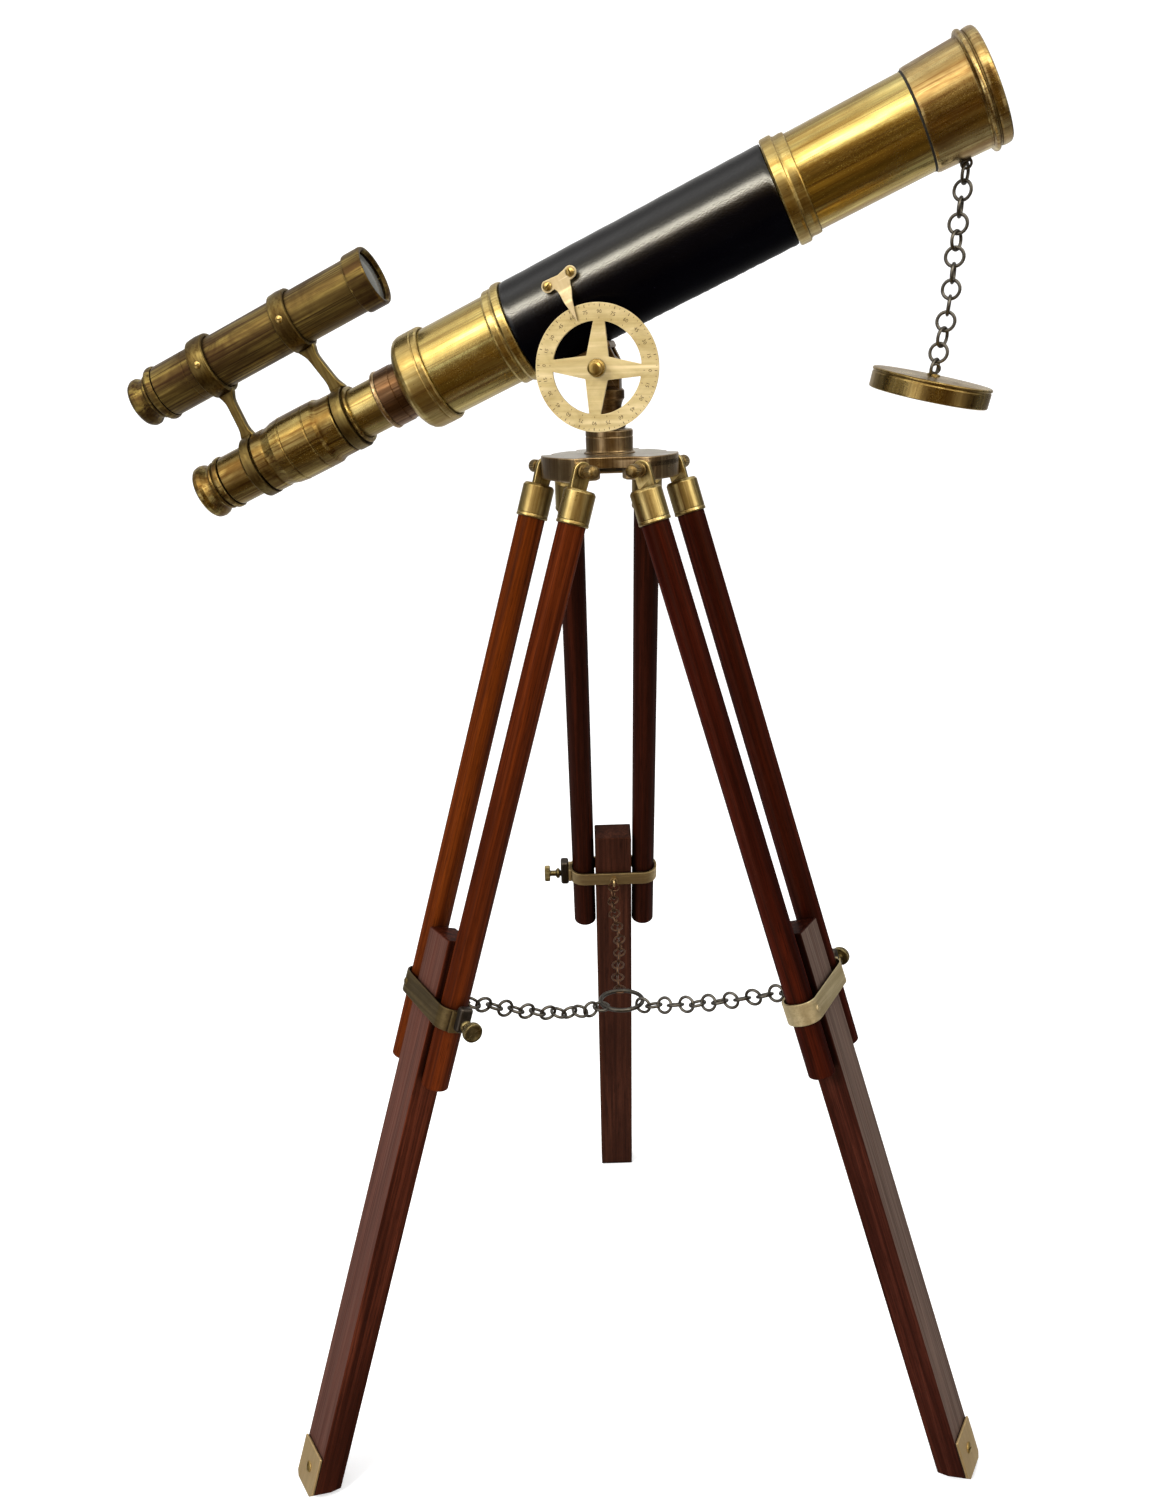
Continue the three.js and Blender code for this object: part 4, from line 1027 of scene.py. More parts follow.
# ------------------------------------------------------------------ finder and eyepieces
lathe("finder_barrel_body",
      [(-224.6, 13.6), (-224.2, 14.0), (-205.2, 14.0), (-204.9, 13.8), (-204.5, 13.8),
       (-204.2, 14.0), (-96.6, 14.0), (-96.4, 13.7), (-96.4, 12.9), (-224.6, 12.9)],
      FINDER, "antique_brass_finder", "draw_section", "finder_barrel", segments=112,
      rounding=0.25)
lathe("finder_cell_body",
      [(-101.2, 14.6), (-100.9, 15.3), (-99.9, 15.5), (-91.2, 15.5), (-90.2, 15.1),
       (-90.0, 14.5), (-90.3, 13.4), (-92.2, 12.9), (-92.2, 14.3), (-101.2, 14.3)],
      FINDER, "antique_brass_finder", "draw_section", "finder_objective_cell", segments=112,
      rounding=0.3)
lathe("finder_glass",
      [(-96.0, 0), (-96.0, 13.7), (-95.6, 13.9), (-93.9, 13.9), (-93.6, 13.6)]
      + lens_dome(-93.6, 1.5, 13.6, (12, 10, 8, 6, 4, 2, 0)),
      FINDER, "lens_grey", "draw_section", "finder_objective_lens", segments=80,
      closed=False, rounding=0.15)
MAIN_CUP = [
    (-231.0, 12.8), (-230.8, 13.6, 0.3), (-229.9, 14.5, 0.7), (-227.8, 14.8, 0.8),
    (-225.8, 14.3, 0.8), (-224.2, 12.9, 0.6), (-223.2, 12.1, 0.4), (-221.9, 12.1, 0.3),
    (-221.5, 13.0, 0.3), (-220.6, 13.5, 0.4), (-219.6, 13.3, 0.3), (-219.2, 12.3, 0.2),
    (-218.4, 12.3, 0.2), (-217.8, 13.8, 0.3), (-217.2, 14.5), (-215.4, 14.6), (-214.8, 14.2),
    (-214.8, 11.7), (-192.0, 11.7), (-192.0, 10.4), (-225.2, 10.4), (-225.2, 6.4),
    (-226.2, 6.2), (-228.6, 9.6, 1.2), (-230.2, 11.8, 0.8), (-230.9, 12.4, 0.2)]
lathe("main_eyepiece_cup", MAIN_CUP, TUBE, "antique_brass_eyepiece", "main_eyepiece",
      "main_eyepiece", segments=112, rounding=0.25)
lathe("main_eye_glass",
      [(-224.9, 0), (-224.9, 10.0), (-223.3, 10.0)]
      + lens_dome(-223.1, 1.5, 9.8, (9.8, 7, 5, 3, 0)),
      TUBE, "lens_deep", "main_eyepiece", "main_eye_lens", segments=48, closed=False,
      rounding=0.15)
FINDER_CUP = [
    (-242.4, 10.0), (-242.2, 10.8, 0.3), (-241.4, 12.2, 0.6), (-239.8, 13.1, 0.7),
    (-237.9, 13.1, 0.6), (-236.4, 12.1, 0.5), (-235.2, 11.2, 0.4), (-233.4, 10.9, 0.4),
    (-232.6, 11.6, 0.3), (-231.8, 12.4, 0.3), (-231.0, 12.3, 0.3), (-230.5, 11.6, 0.2),
    (-229.9, 11.7, 0.2), (-229.4, 13.4, 0.3), (-228.7, 14.7, 0.4), (-227.6, 15.0),
    (-226.4, 14.9), (-225.0, 14.2), (-225.0, 12.6), (-205.0, 12.6), (-205.0, 11.2),
    (-235.6, 10.2), (-237.2, 6.2), (-238.4, 5.9), (-240.6, 7.8, 0.8), (-242.1, 9.3, 0.4)]
lathe("finder_eyepiece_cup", FINDER_CUP, FINDER, "antique_brass_finder", "finder_eyepiece",
      "finder_eyepiece", segments=112, rounding=0.25)

# ------------------------------------------------------------------ altitude circle, axle, knob
DIAL_TURN = -4            # degrees the circle is turned on its axle


def graduated_circle():
    # one side of a window, from the rim to the hub; the other side mirrors it about 45 degrees
    side = [(21.7, 3.05), (21.55, 2.95),
            *[(21.2 - (21.2 - 5.8) * i / 8, 2.95 + (5.45 - 2.95) * i / 8) for i in range(9)],
            (5.6, 5.5)]
    mirrored = [(y, x) for x, y in side][::-1]
    start = math.atan2(mirrored[-1][1], mirrored[-1][0])
    end = math.atan2(side[0][1], side[0][0])
    angles = [start + (end - start) * i / 24 for i in range(1, 24)]
    rim = [(22.0 * math.cos(angle), 22.0 * math.sin(angle)) for angle in angles]
    holes = []
    for k in range(4):
        cos = math.cos((k * 90 + DIAL_TURN) * DEG)
        sin = math.sin((k * 90 + DIAL_TURN) * DEG)
        holes.append([(x * cos - y * sin, x * sin + y * cos) for x, y in side + mirrored + rim])
    holes.append(circle(3.15, 24))
    put("graduated_circle", slab(circle(30.45, 192), 1.8, holes, 0.28, 2), DIAL,
        "satin_brass_circle", "azimuth_mount", "altitude_circle", sharp=40)


def dial_number(angle):
    value = angle % 180
    curve = bpy.data.curves.new("number", "FONT")
    curve.body = str(180 - value if value > 90 else value)
    curve.size = 2.5
    curve.align_x = "CENTER"
    curve.align_y = "CENTER"
    curve.extrude = 0.025
    curve.resolution_u = 2
    mesh = moved(curve_mesh(curve), Matrix.Scale(MM, 4))
    return moved(mesh, turn("Z", angle + DIAL_TURN) @ shift(26.1, 0, 1.80) @ turn("Z", -90))


def graduations():
    def tick(angle, start, end, half_width):
        mesh = block((start, end), (-half_width, half_width), (1.775, 1.825), bevel=0.01,
                     segments=1)
        return moved(mesh, turn("Z", angle + DIAL_TURN))

    marks = []
    for angle in range(0, 360, 5):
        if angle % 15 == 0:
            marks.append(tick(angle, 28.4, 29.7, 0.17))
            marks.append(tick(angle, 22.9, 23.7, 0.12))
        else:
            marks.append(tick(angle, 29.0, 29.7, 0.11))
    marks += [dial_number(angle) for angle in range(0, 360, 15)]
    put("circle_graduations", join(*marks), DIAL, "engraved_black", "azimuth_mount",
        weighted=False)


graduated_circle()
graduations()
lathe("axle_body",
      [(-10.6, 0), (-10.6, 2.9), (-8.5, 2.9), (8.4, 2.9), (8.4, 4.5, 0.4), (14.0, 4.5, 0),
       (14.6, 4.1), (16.0, 4.1), (16.6, 4.5), (28.7, 4.5, 0.3), (28.7, 2.9), (31.0, 2.9),
       (31.0, 0)],
      AXLE, "bronzed_fork", "azimuth_mount", "altitude_axle", axis="Z", segments=64,
      closed=False, rounding=0.15)
put("axle_nut", moved(slab(circle(5.4, 6), 3.1, (), 0.4, 2), shift(0, 0, -11.6)), AXLE,
    "brass_screws", "azimuth_mount", "altitude_axle", sharp=25)
lathe("lock_knob_body",
      [(31.1, 0), (31.1, 4.0), (31.4, 4.3), (32.0, 4.3), (32.4, 3.9), (32.6, 3.2), (33.4, 3.0),
       (34.2, 3.2), (34.8, 3.6), (36.8, 3.65), (37.4, 3.4), (38.1, 2.4), (38.4, 0)],
      AXLE, "brass_screws", "lock_knob", "altitude_lock_knob", axis="Z", segments=144,
      closed=False, rounding=0.25, wobble=knurl(teeth=32, depth=0.18, beyond=3.5))

# ------------------------------------------------------------------ tripod head and post
ARM_HALF_WIDTH = 17
ARM_RADIUS = 35.5
FLAT_RADIUS = 26          # axis to the corners between neighbouring arms


def tripod_head():
    corner = (FLAT_RADIUS - math.sin(60 * DEG) * ARM_HALF_WIDTH) / math.cos(60 * DEG)
    edge = math.degrees(math.asin(ARM_HALF_WIDTH / ARM_RADIUS))
    arm_end = arc(0, 0, ARM_RADIUS, -edge, edge, 16)
    outline, unions, bores = [], [], [cylinder(500, 600, 5.25, "Z", 40)]
    for side, azimuth in LEG_AZIMUTH.items():
        cos, sin = math.cos(azimuth * DEG), math.sin(azimuth * DEG)
        points = [(corner, -ARM_HALF_WIDTH), *arm_end, (corner, ARM_HALF_WIDTH)]
        if side != "left":
            # a round web fills the gap to the next arm
            points += arc(0, 0, 31.0, 43, 77, 17)
        outline += [(x * cos - y * sin, x * sin + y * cos) for x, y in points]
        lobe = [(14, -13), (18, -ARM_HALF_WIDTH), *arm_end, (18, ARM_HALF_WIDTH), (14, 13)]
        unions.append(moved(slab(lobe, 10.2, (), 1.1, 3),
                            turn("Z", azimuth) @ shift(0, 0, 541.5)))
        bores.append(moved(cylinder(-30, 30, 2.35, "Y", 28),
                           turn("Z", azimuth) @ shift(PIVOT_RADIUS, 0, PIVOT_HEIGHT)))
    hub = [(550, 0), (550, 13.3), (552.8, 13.3, 0.4), (553.8, 13.2, 0.4), (554.3, 12.3, 0.3),
           (555.0, 12.1), (561.4, 12.2, 0.5), (561.8, 11.9, 0.2), (562.2, 12.2, 0.2),
           (564.6, 12.2, 0.6), (565.4, 11.4, 0.6), (565.5, 9.0), (565.5, 0)]
    unions.append(revolve(fillet(hub, 0.5, 3, False), "Z", 96, False))
    plate = moved(slab(outline, 5.6, (), 0.7, 3), shift(0, 0, 547.6))
    casting = boolean(boolean(plate, unions, "UNION"), bores)
    put("tripod_head_casting", casting, STAND, "bronzed_head", "tripod_head",
        "head_plate", sharp=30)


def azimuth_post():
    profile = [(544, 0), (544, 5), (565.8, 5), (565.8, 8.2), (566.3, 8.6), (567.6, 8.6),
               (568.4, 8.0), (569.6, 7.2, 0.8), (572.0, 6.6, 1.2), (577.0, 6.6, 1.2),
               (579.4, 7.4, 0.8), (580.4, 8.2), (584.4, 8.2), (585.2, 7.4), (586.0, 6.2),
               (586.0, 0)]
    post = revolve(fillet(profile, 0.35, 3, False), "Z", 80, False)
    tongue = [(-EYE_RADIUS, 583.5), (EYE_RADIUS, 583.5), (EYE_RADIUS, TILT_HEIGHT),
              *arc(0, TILT_HEIGHT, EYE_RADIUS, 12, 168, 13), (-EYE_RADIUS, TILT_HEIGHT)]
    hole = circle(3.1, 30, 0, TILT_HEIGHT)
    tongue = moved(slab(tongue, 8, [hole], 0.6, 3), shift(0, 4, 0) @ turn("X", 90))
    put("azimuth_post_body", boolean(post, [tongue], "UNION"), AZIMUTH, "bronzed_fork",
        "azimuth_mount", "azimuth_post", sharp=30)


tripod_head()
azimuth_post()

# ------------------------------------------------------------------ legs
# rods: (tag, side of the leg on Y, wood, inset towards the leg's middle)
# lean (degrees), slide: how the bar has shifted in its clamp
# skew (degrees), lift, room: how the clamp band hangs, and its spare room for the bar
# lug: its span on Z from the clamp's level; chain: (link radius, wire radius, pitch)
LEGS = {
    "left": SimpleNamespace(
        rods=[("a", 1, "left_near", 0.0), ("b", -1, "left_far", 1.7)],
        lean=-0.18, slide=3.2, foot_screw_angle=15, skew=-3.4, lift=0.8, room=0.45,
        lug=(-4.6, 8.6), chain=(4.25, 0.88, 7.4), sag=5.0, wire="dark_steel_wire"),
    "right": SimpleNamespace(
        rods=[("a", 1, "right_far", 1.7), ("b", -1, "right_near", 0.0)],
        lean=-0.30, slide=1.4, foot_screw_angle=75, skew=2.9, lift=-2.0, room=0.9,
        lug=(-8.6, 8.6), chain=(4.25, 0.88, 7.4), sag=2.6, wire="dark_steel_wire"),
    "back": SimpleNamespace(
        rods=[("a", 1, "back_a", 0.8), ("b", -1, "back_b", 0.8)],
        lean=0.0, slide=0.0, foot_screw_angle=135, skew=0.0, lift=1.2, room=0.0,
        lug=(-7.0, 10.6), chain=(3.3, 0.62, 5.7), sag=3.4, wire="browned_wire"),
}
ROD_RADIUS = 7.15
CLAMP_DOWN = 286.0        # clamp below the hinge, along the leg
STRAP = 1.5               # thickness of the clamp band
BAND_X = 8.05             # half the band's inside, outward and sideways


def rod_offset(down):
    """Half the rods' spacing at a distance down the leg."""
    return 21.85 - 5.7 * down / 351.8 / 2


BAND_Y = rod_offset(CLAMP_DOWN) + 7.1 + 0.3
SPREADER_HEIGHT = 241


def rods_and_ferrules(side):
    place = leg_frame(side)
    for tag, sign, rod_wood, inset in LEGS[side].rods:
        top = Vector((0, sign * (rod_offset(12) - inset), -12))
        bottom = Vector((0, sign * rod_offset(326.8), -326.8))
        length = (top - bottom).length
        aim = Vector((0, 0, 1)).rotation_difference((top - bottom).normalized())
        rod_place = place @ (Matrix.Translation(bottom * MM) @ aim.to_matrix().to_4x4())
        profile = [(0, 0), (0, 6.2), (0.9, ROD_RADIUS, 0.8), (2.0, ROD_RADIUS, 0),
                   *[(2 + (length - 4) * i / 12, ROD_RADIUS, 0) for i in range(1, 12)],
                   (length - 2, ROD_RADIUS, 0), (length, 6.9), (length, 0)]
        lathe(f"rod_{side}_{tag}", profile, rod_place, f"hardwood_rod_{rod_wood}",
              f"leg_{side}", f"leg_{side}_rod_{tag}", axis="Z", segments=64,
              closed=False, rounding=0.5)
        cup = [(-26.8, 7.45), (-26.8, 8.1, 0.3), (-26.2, 8.35, 0.3), (-25.2, 8.2, 0.2),
               (-24.9, 8.05, 0.15), (-24.5, 8.2, 0.2), (-10.6, 8.2, 0.5), (-9.2, 7.2, 0.8),
               (-9.2, 0), (-11.2, 0), (-11.2, 7.45)]
        cup = moved(revolve(fillet(cup, 0.3, 3), "Z", 80),
                    shift(0, sign * (rod_offset(19) - inset), 0))
        tongue = [(-4.6, -10.0), (4.6, -10.0), (4.8, -5), *arc(0, 0, 4.8, 0, 180, 12),
                  (-4.8, -5)]
        tongue = moved(slab(tongue, 2.7, [circle(2.35, 20)], 0.45, 2),
                       shift(0, 20.2 if sign > 0 else -17.5, 0) @ turn("X", 90))
        put(f"ferrule_{side}_{tag}", boolean(cup, [tongue], "UNION"), place,
            "antique_brass_ferrule", f"leg_{side}", f"leg_{side}_ferrule_{tag}",
            sharp=32)


def foot_cutters(clearance):
    """Trims a part to the floor plane, raised by the clearance, and clips its two corners."""
    floor = moved(block((-60, 60), (-60, 60), (-60, clearance), bevel=0.01, segments=1),
                  shift(0, 0, -LEG_LENGTH) @ turn("Y", SPLAY))
    corners = [moved(block((-20, 20), (-6, 6), (-6, 6), bevel=0.02, segments=1),
                     shift(0, sign * 14.3, -LEG_LENGTH - 5.2) @ turn("X", 45))
               for sign in (1, -1)]
    return [floor, *corners]


def bar_and_foot(side):
    leg, body = LEGS[side], f"leg_{side}_extension"
    place = (leg_frame(side) @ shift(0, 0, -290) @ turn("Y", leg.lean)
             @ shift(0, 0, 290 + leg.slide))
    bar = block((-7.75, 7.75), (-11.6, 11.6), (-LEG_LENGTH - 8, -252.4), bevel=0.9)
    put(f"bar_{side}", boolean(bar, foot_cutters(0)), place, f"hardwood_bar_{side}", body,
        f"leg_{side}_extension_bar", sharp=32)
    plate = block((8.0, 9.5), (-11.4, 11.4), (-LEG_LENGTH - 8, -LEG_LENGTH + 22.0), bevel=0.6)
    put(f"foot_plate_{side}_body", boolean(plate, foot_cutters(0.6)), place, "worn_brass_foot",
        body, f"leg_{side}_foot_plate", sharp=32)
    slotted_screw(f"foot_screw_{side}",
                  place @ shift(9.5, 0.5, -LEG_LENGTH + 10.2) @ turn("Y", 90), "brass_screws",
                  body, radius=3.0, height=0.7, slot_width=0.8,
                  angle=leg.foot_screw_angle)


def oval(half_x, half_y, radius):
    x, y = half_x - radius, half_y - radius
    corners = ((x, y, 0), (-x, y, 90), (-x, -y, 180), (x, -y, 270))
    return [point for cx, cy, start in corners
            for point in arc(cx, cy, radius, start, start + 90, 10)]


def clamp(side):
    """Strap bent round the rods, with a lug and thumb screw on +Y and a wire eye inward."""
    leg, body, place = LEGS[side], f"leg_{side}", leg_frame(side)
    level = shift(0, 0, -CLAMP_DOWN)
    unlevel = shift(0, 0, CLAMP_DOWN)
    hang = shift(0, 0, -CLAMP_DOWN + leg.lift) @ turn("X", leg.skew) @ unlevel
    hole = [(x + leg.room / 2, y) for x, y in oval(BAND_X + leg.room / 2, BAND_Y, 7.4)]
    band = moved(slab(oval(BAND_X + STRAP, BAND_Y + STRAP, 8.9), 12, [hole], 0.3, 2),
                 shift(0, 0, -CLAMP_DOWN - 6))
    ear = moved(block((-5.2, 5.2), (BAND_Y + 0.5, BAND_Y + 2.4), (-5.9, 5.9), bevel=0.5,
                      segments=2), level)
    band = boolean(band, [ear], "UNION")
    band = boolean(band, [moved(cylinder(BAND_Y - 4, BAND_Y + 12, 2.1, "Y", 28), level)])
    if side == "back":
        # a narrower strap
        band = moved(band, level @ Matrix.Diagonal((1, 1, 0.74, 1)) @ unlevel)
    moved(band, hang)
    lug = moved(block((-3.7, 3.7), (BAND_Y + 2.3, BAND_Y + 7.4), leg.lug, bevel=1.5,
                      segments=4), level)
    lug_bore = moved(cylinder(BAND_Y - 4, BAND_Y + 14, 2.05, "Y", 28), level)
    put(f"clamp_{side}_lug", boolean(lug, [lug_bore]), place, "blackened_lug", body,
        f"leg_{side}_clamp_band", sharp=32)
    eye = upright_eye(2.25, 0.65, -(BAND_X + STRAP) - 2.1, -CLAMP_DOWN)
    boss = fillet([(-0.6, 0), (-0.6, 2.6), (0.5, 2.5), (0.9, 0)], 0.3, 2, False)
    boss = moved(revolve(boss, "X", 28, False), shift(-(BAND_X + STRAP) - 0.5, 0, -CLAMP_DOWN))
    put(f"clamp_{side}_band", join(band, eye, boss), place, f"worn_brass_band_{side}", body,
        f"leg_{side}_clamp_band", sharp=32)
    rivet_place = shift(BAND_X + STRAP, -BAND_Y + 6.5, -CLAMP_DOWN) @ turn("Y", 90)
    slotted_screw(f"clamp_{side}_rivet", place @ hang @ rivet_place,
                  f"worn_brass_band_{side}", body, radius=1.9, height=0.4,
                  slot_width=0.5, slot_depth=0.35, angle=40, dome=0.3)
    screw = [(0, 0), (0, 1.6), (0.5, 1.85), (7.8, 1.85), (8.1, 2.9), (8.7, 3.3), (9.7, 3.3),
             (10.3, 2.7), (10.6, 1.9), (14.2, 1.9), (14.4, 4.7), (14.8, 5.2), (17.4, 5.2),
             (17.8, 4.7), (17.9, 3.9), (17.5, 2.6), (17.5, 0)]
    lathe(f"clamp_{side}_thumb_screw", [(BAND_Y + 0.2 + y, radius) for y, radius in screw],
          place @ level, "thumb_screw_brass", f"clamp_screw_{side}", f"leg_{side}_clamp_screw",
          axis="Y", segments=192, closed=False, rounding=0.25,
          wobble=knurl(teeth=40, depth=0.30, beyond=5.0))


def spreader_chain(side):
    """Sags between the clamp's eye and the spreader ring."""
    leg = LEGS[side]
    cos, sin = math.cos(SPLAY * DEG), math.sin(SPLAY * DEG)
    eye_x = PIVOT_RADIUS - (BAND_X + 3.6) * cos + CLAMP_DOWN * sin
    eye_z = PIVOT_HEIGHT - (BAND_X + 3.6) * sin - CLAMP_DOWN * cos
    start, end = Vector((eye_x - 1.2, 0, eye_z - 0.6)), Vector((13.9, 0, SPREADER_HEIGHT))
    path = []
    for i in range(33):
        part = i / 32
        point = start.lerp(end, part)
        # the left chain hangs lowest towards the ring, the back one also snakes sideways
        point.z -= leg.sag * 4 * part * (1 - part) * (0.5 + part if side == "left" else 1.0)
        if side == "back":
            point.y += 1.3 * math.sin(part * 9.0)
        path.append(point)
    mesh = chain(path, Vector((0, 1, 0)), *leg.chain, start_flat=side != "left", tilt=0.2,
                 first=2.4, first_turn=1.2 if side == "left" else 0.0)
    put(f"spreader_chain_{side}_links", mesh, leg_azimuth(side), leg.wire,
        f"spreader_chain_{side}", f"spreader_chain_{side}", weighted=False, sharp=60)


def hinge_bolt(side):
    """Washers, turned shank and knurled ends, the same both ways from the middle."""
    half = [(20.6, 2.1), (20.7, 3.4), (21.0, 3.6), (22.0, 3.6), (22.3, 3.2), (22.4, 2.2),
            (25.2, 2.2), (25.4, 3.0), (25.9, 3.35), (30.4, 3.35), (31.2, 2.8), (31.9, 1.6),
            (32.1, 0)]
    lathe(f"hinge_bolt_{side}_body", [(-y, radius) for y, radius in half[::-1]] + half,
          leg_hinge(side), "brass_hinge_bolts", "tripod_head", f"hinge_bolt_{side}", axis="Y",
          segments=120, closed=False, rounding=0.2,
          wobble=knurl(teeth=24, depth=0.22, beyond=3.3))


for side in LEGS:
    rods_and_ferrules(side)
    bar_and_foot(side)
    clamp(side)
    spreader_chain(side)
    hinge_bolt(side)

# ------------------------------------------------------------------ spreader ring and hanging cap
put("spreader_ring_body",
    torus(12.2, 1.25, Matrix.Translation((0, 0, SPREADER_HEIGHT)), 72, 14), STAND,
    "dark_steel_wire", "spreader_ring", "spreader_ring", weighted=False, sharp=60)

# screw eye under the dew shield, in the tube's frame
EYE_ALONG, EYE_DOWN = 191.0, 26.4
EYE_POS = (TUBE @ Vector((EYE_ALONG * MM, 0, -EYE_DOWN * MM))) / MM
CAP_POS = EYE_POS + Vector((-10.4, 2.22, -95.59))
CAP = Matrix.Translation(CAP_POS * MM) @ turn("X", 5) @ turn("Y", 12)


def shield_screw_eye():
    stem = [(2.0, 0), (2.0, 0.7), (2.2, 0.85), (4.8, 0.85), (4.8, 0)]
    stem = moved(revolve(stem, "Z", 20, False), shift(0, 0, -1.0))
    boss = fillet([(0.6, 0), (0.6, 1.9), (1.0, 2.2), (1.9, 2.2), (1.9, 0)], 0.2, 2, False)
    boss = moved(revolve(boss, "Z", 28, False), shift(0, 0, -0.5))
    put("shield_screw_eye", join(upright_eye(2.3, 0.62), stem, boss),
        TUBE @ shift(EYE_ALONG, 0, -EYE_DOWN), "dark_steel_wire", "tube",
        "dew_shield", weighted=False, sharp=50)


def cap_chain():
    start = EYE_POS + Vector((0, 0, -1.6))
    end = CAP_POS + Vector((0.6, 0.2, 4.4))
    path = []
    for i in range(25):
        part = i / 24
        point = start.lerp(end, part)
        point.x += 1.6 * math.sin(part * math.pi) - 0.8 * math.sin(2 * math.pi * part)
        path.append(point - EYE_POS)
    mesh = chain(path, Vector((0.3, 1, 0)), link_radius=4.25, wire_radius=0.82, pitch=7.4,
                 start_flat=True, tilt=0.25, first=2.8)
    put("cap_chain_links", mesh, Matrix.Translation(EYE_POS * MM), "dark_steel_wire",
        "hanging_cap", "cap_chain", weighted=False, sharp=60)


def cap_wobble(along, radius, angle):
    return 0.08 * math.sin(3 * angle) if radius > 25 else 0.0


shield_screw_eye()
cap_chain()
lathe("lens_cap_body",
      [(-1.6, 0), (-1.6, 25.8), (-9.6, 26.2), (-9.6, 28.3), (-9.3, 28.9), (-8.6, 29.0),
       (-2.4, 29.05), (-2.0, 28.7), (-1.5, 28.7), (-1.1, 29.25), (-0.4, 29.3), (0.1, 28.7),
       (0.35, 24.0, 2.0), (0.6, 14.0, 4.0), (0.7, 4.0, 0.4), (0.9, 3.2), (1.6, 3.1),
       (1.9, 2.4), (1.9, 0)],
      CAP, "antique_brass_cap", "hanging_cap", "lens_cap", axis="Z", segments=160,
      closed=False, rounding=0.3, wobble=cap_wobble)
put("lens_cap_eye", join(upright_eye(2.1, 0.6, z=4.2), cylinder(1.6, 2.8, 0.9, "Z", 20)), CAP,
    "dark_steel_wire", "hanging_cap", "lens_cap", weighted=False, sharp=50)

# the spindle nut keeps its CAD shape
nut = frame["nodes"]["spindle_nut"]
nut.data.materials.clear()
nut.data.materials.append(MATERIALS["dark_steel_wire"])


# ------------------------------------------------------------------ studio (metres)
def studio_floor():
    """Floor that curves up into a wall behind the stand, just under z = 0."""
    sweep, sweep_start = 1.6, 2.2
    profile = [(-6.0, 0.0), (sweep_start, 0.0)]
    profile += [(sweep_start + sweep * math.sin(a * DEG), sweep - sweep * math.cos(a * DEG))
                for a in range(6, 91, 6)]
    profile.append((3.8, 6.0))
    bm = bmesh.new()
    rows = [[bm.verts.new((x, y, z - 0.0004)) for x in (-7, 7)] for y, z in profile]
    for near, far in zip(rows, rows[1:]):
        bm.faces.new((near[0], near[1], far[1], far[0])).smooth = True
    mesh = mesh_of(bm)
    mesh.name = "studio_floor"
    ob = link("studio_floor", mesh)
    tree = Surface("studio_paper")
    tree.set({
        "Base Color": tree.ramp(tree.noise(tree.place, scale=0.004, detail=3),
                                [(0.3, 0.86), (0.7, 0.88)]),
        "Roughness": 0.9,
        "Specular IOR Level": 0.1,
        "Emission Color": (1, 1, 1),
        "Emission Strength": 0.40})
    mesh.materials.append(MATERIALS["studio_paper"])
    ob.visible_glossy = False


WHITE, WARM, AMBER = (1.0, 0.985, 0.95), (1.0, 0.94, 0.78), (1.0, 0.60, 0.16)
# what the metal reflects: (angle, strength, tint), angle in degrees round the X axis,
# 0 towards the camera, 90 overhead, 180 behind, -90 below
REFLECTED = [
    (-180, 0.70, WHITE), (-148, 0.80, WHITE), (-120, 0.55, WHITE), (-100, 0.30, WHITE),
    (-84, 0.34, WHITE), (-70, 0.11, AMBER), (-56, 0.12, AMBER), (-44, 0.07, AMBER),
    (-32, 0.20, AMBER), (-22, 0.26, AMBER), (-10, 0.13, AMBER), (0, 0.20, AMBER),
    (12, 0.26, AMBER), (24, 0.50, AMBER), (32, 1.6, WARM), (39, 5.2, WARM), (48, 5.2, WARM),
    (56, 2.4, WARM), (68, 1.45, WARM), (78, 1.15, WHITE), (88, 0.8, WHITE), (98, 1.7, WHITE),
    (108, 1.5, WHITE), (120, 0.75, WHITE), (146, 0.60, WHITE), (180, 0.75, WHITE)]


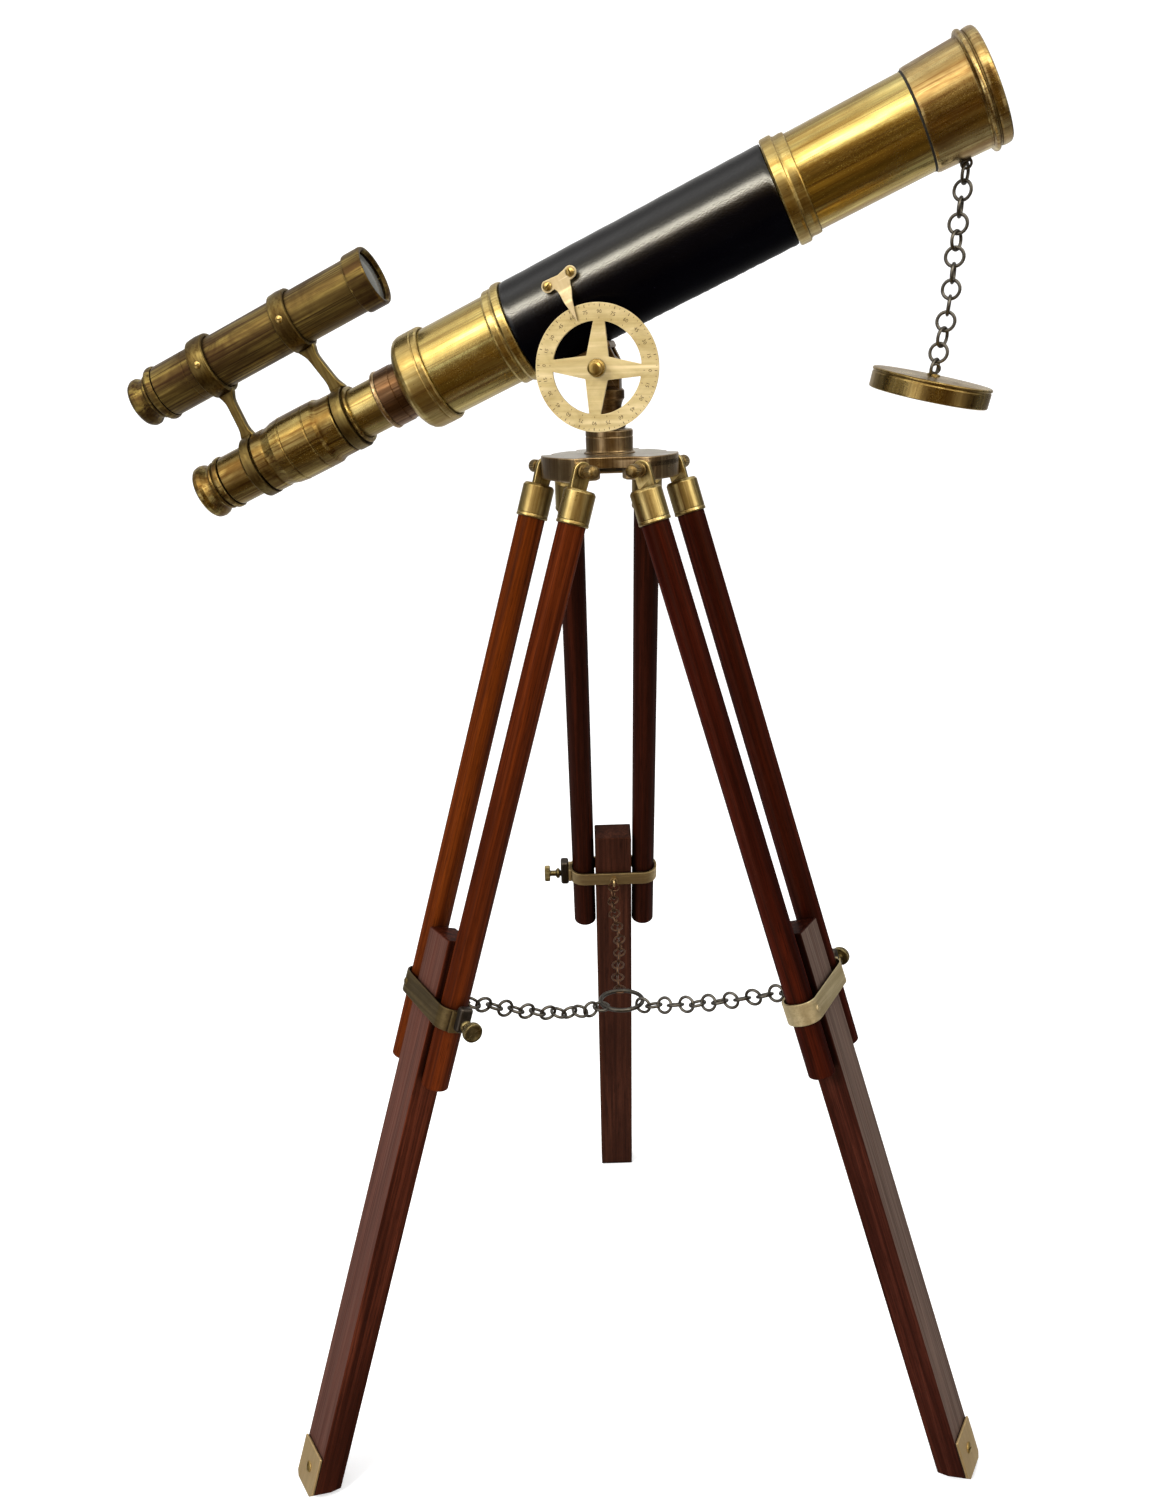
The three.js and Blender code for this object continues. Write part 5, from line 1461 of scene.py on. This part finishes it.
def studio_world():
    """One sky for reflections, a plain one for diffuse light, a flat one for the camera."""
    world = bpy.data.worlds.new("studio")
    bpy.context.scene.world = world
    world.use_nodes = True
    tree = Tree(world.node_tree)
    output = tree.node("ShaderNodeOutputWorld")
    direction = tree.node("ShaderNodeTexCoord").outputs["Generated"]
    x, y, z = tree.separate(direction)
    angle = tree.calc("ARCTAN2", z, tree.mul(y, -1.0))
    turned = tree.add(tree.calc("DIVIDE", angle, 2 * math.pi), 0.5)
    sky = tree.ramp(turned, [(degrees / 360 + 0.5, [strength * part for part in tint])
                             for degrees, strength, tint in REFLECTED])
    # level directions far to either side are darker, so upright round pieces keep dark edges
    sideways = tree.sub(tree.calc("ABSOLUTE", x), tree.mul(tree.calc("ABSOLUTE", z), 0.9))
    sky = tree.mix(1.0, sky, tree.ramp(sideways, [(0.30, 1.0), (0.62, 0.22)]), "MULTIPLY")
    patches = tree.noise(tree.mapping(direction, (1.6, 1.6, 1.6)), scale=1.0, detail=3, rough=0.5)
    sky = tree.mix(1.0, sky, tree.ramp(patches, [(0.35, 0.72), (0.65, 1.2)]), "MULTIPLY")
    # tall soft boxes left and right of the camera
    front = tree.ramp(tree.unit(y), [(0.46, 1.0), (0.54, 0.0)])
    tall = tree.ramp(tree.unit(z), [(0.24, 0.0), (0.34, 1.0), (0.66, 1.0), (0.74, 0.0)])
    boxes = tree.ramp(tree.unit(x), [(0.07, 0.0), (0.11, 1.5), (0.20, 1.7), (0.25, 0.0),
                                     (0.76, 0.0), (0.80, 0.55), (0.88, 0.55), (0.92, 0.0)])
    sky = tree.mix(1.0, sky, tree.mul(tree.mul(front, tall), boxes), "ADD")
    glossy = tree.node("ShaderNodeBackground", {"Color": sky, "Strength": 1.0})
    height = tree.add(0.5, tree.mul(z, 0.5))
    diffuse = tree.node("ShaderNodeBackground", {
        "Color": tree.ramp(height, [(0.0, 0.55), (0.5, 0.75), (1.0, 1.0)]), "Strength": 0.55})
    seen = tree.node("ShaderNodeBackground", {"Color": (0.97, 0.97, 0.97)})
    rays = tree.node("ShaderNodeLightPath").outputs
    lit = tree.node("ShaderNodeMixShader", {
        0: rays["Is Glossy Ray"], 1: diffuse.outputs[0], 2: glossy.outputs[0]})
    shown = tree.node("ShaderNodeMixShader", {
        0: rays["Is Camera Ray"], 1: lit.outputs[0], 2: seen.outputs[0]})
    tree.feed(output.inputs[0], shown.outputs[0])
    # only there when the Cycles add-on is enabled
    if hasattr(world, "cycles"):
        world.cycles.sampling_method = "NONE"


def area_light(name, location, target, size, power):
    """Rectangular light aimed at the target, power in watts, unseen in reflections."""
    light = bpy.data.lights.new(name, "AREA")
    light.shape = "RECTANGLE"
    light.size, light.size_y = size
    light.energy = power
    ob = link(name, light)
    ob.location = location
    aim = Vector(target) - Vector(location)
    ob.rotation_euler = aim.to_track_quat("-Z", "Y").to_euler()
    ob.visible_glossy = False


def camera():
    data = bpy.data.cameras.new("camera")
    data.sensor_fit = "AUTO"
    data.sensor_width = 36.0
    data.lens = 32.1741618
    data.shift_y = -0.0014
    data.clip_start = 0.01
    data.clip_end = 50
    ob = link("camera", data)
    right = Vector((0.99951713, -0.00887995, -0.02977669))
    up = Vector((0.03107257, 0.28564289, 0.95783226))
    position = Vector((-22.58, -705.84, 605.64)) * MM + AXIS_POS
    ob.matrix_world = basis(right, up, right.cross(up), position)
    bpy.context.scene.camera = ob


studio_floor()
studio_world()
area_light("key", location=(-1.5, -1.5, 1.5), target=(0, 0, 0.4), size=(0.9, 0.9), power=62)
area_light("fill", location=(1.9, -1.2, 1.3), target=(0, 0, 0.4), size=(1.2, 1.6), power=14)
area_light("top", location=(0, 0.2, 2.4), target=(0, 0, 0.3), size=(1.6, 1.6), power=16)
camera()
view = bpy.context.scene.view_settings
view.view_transform = "Standard"
view.look = "None"
view.exposure = 0.0
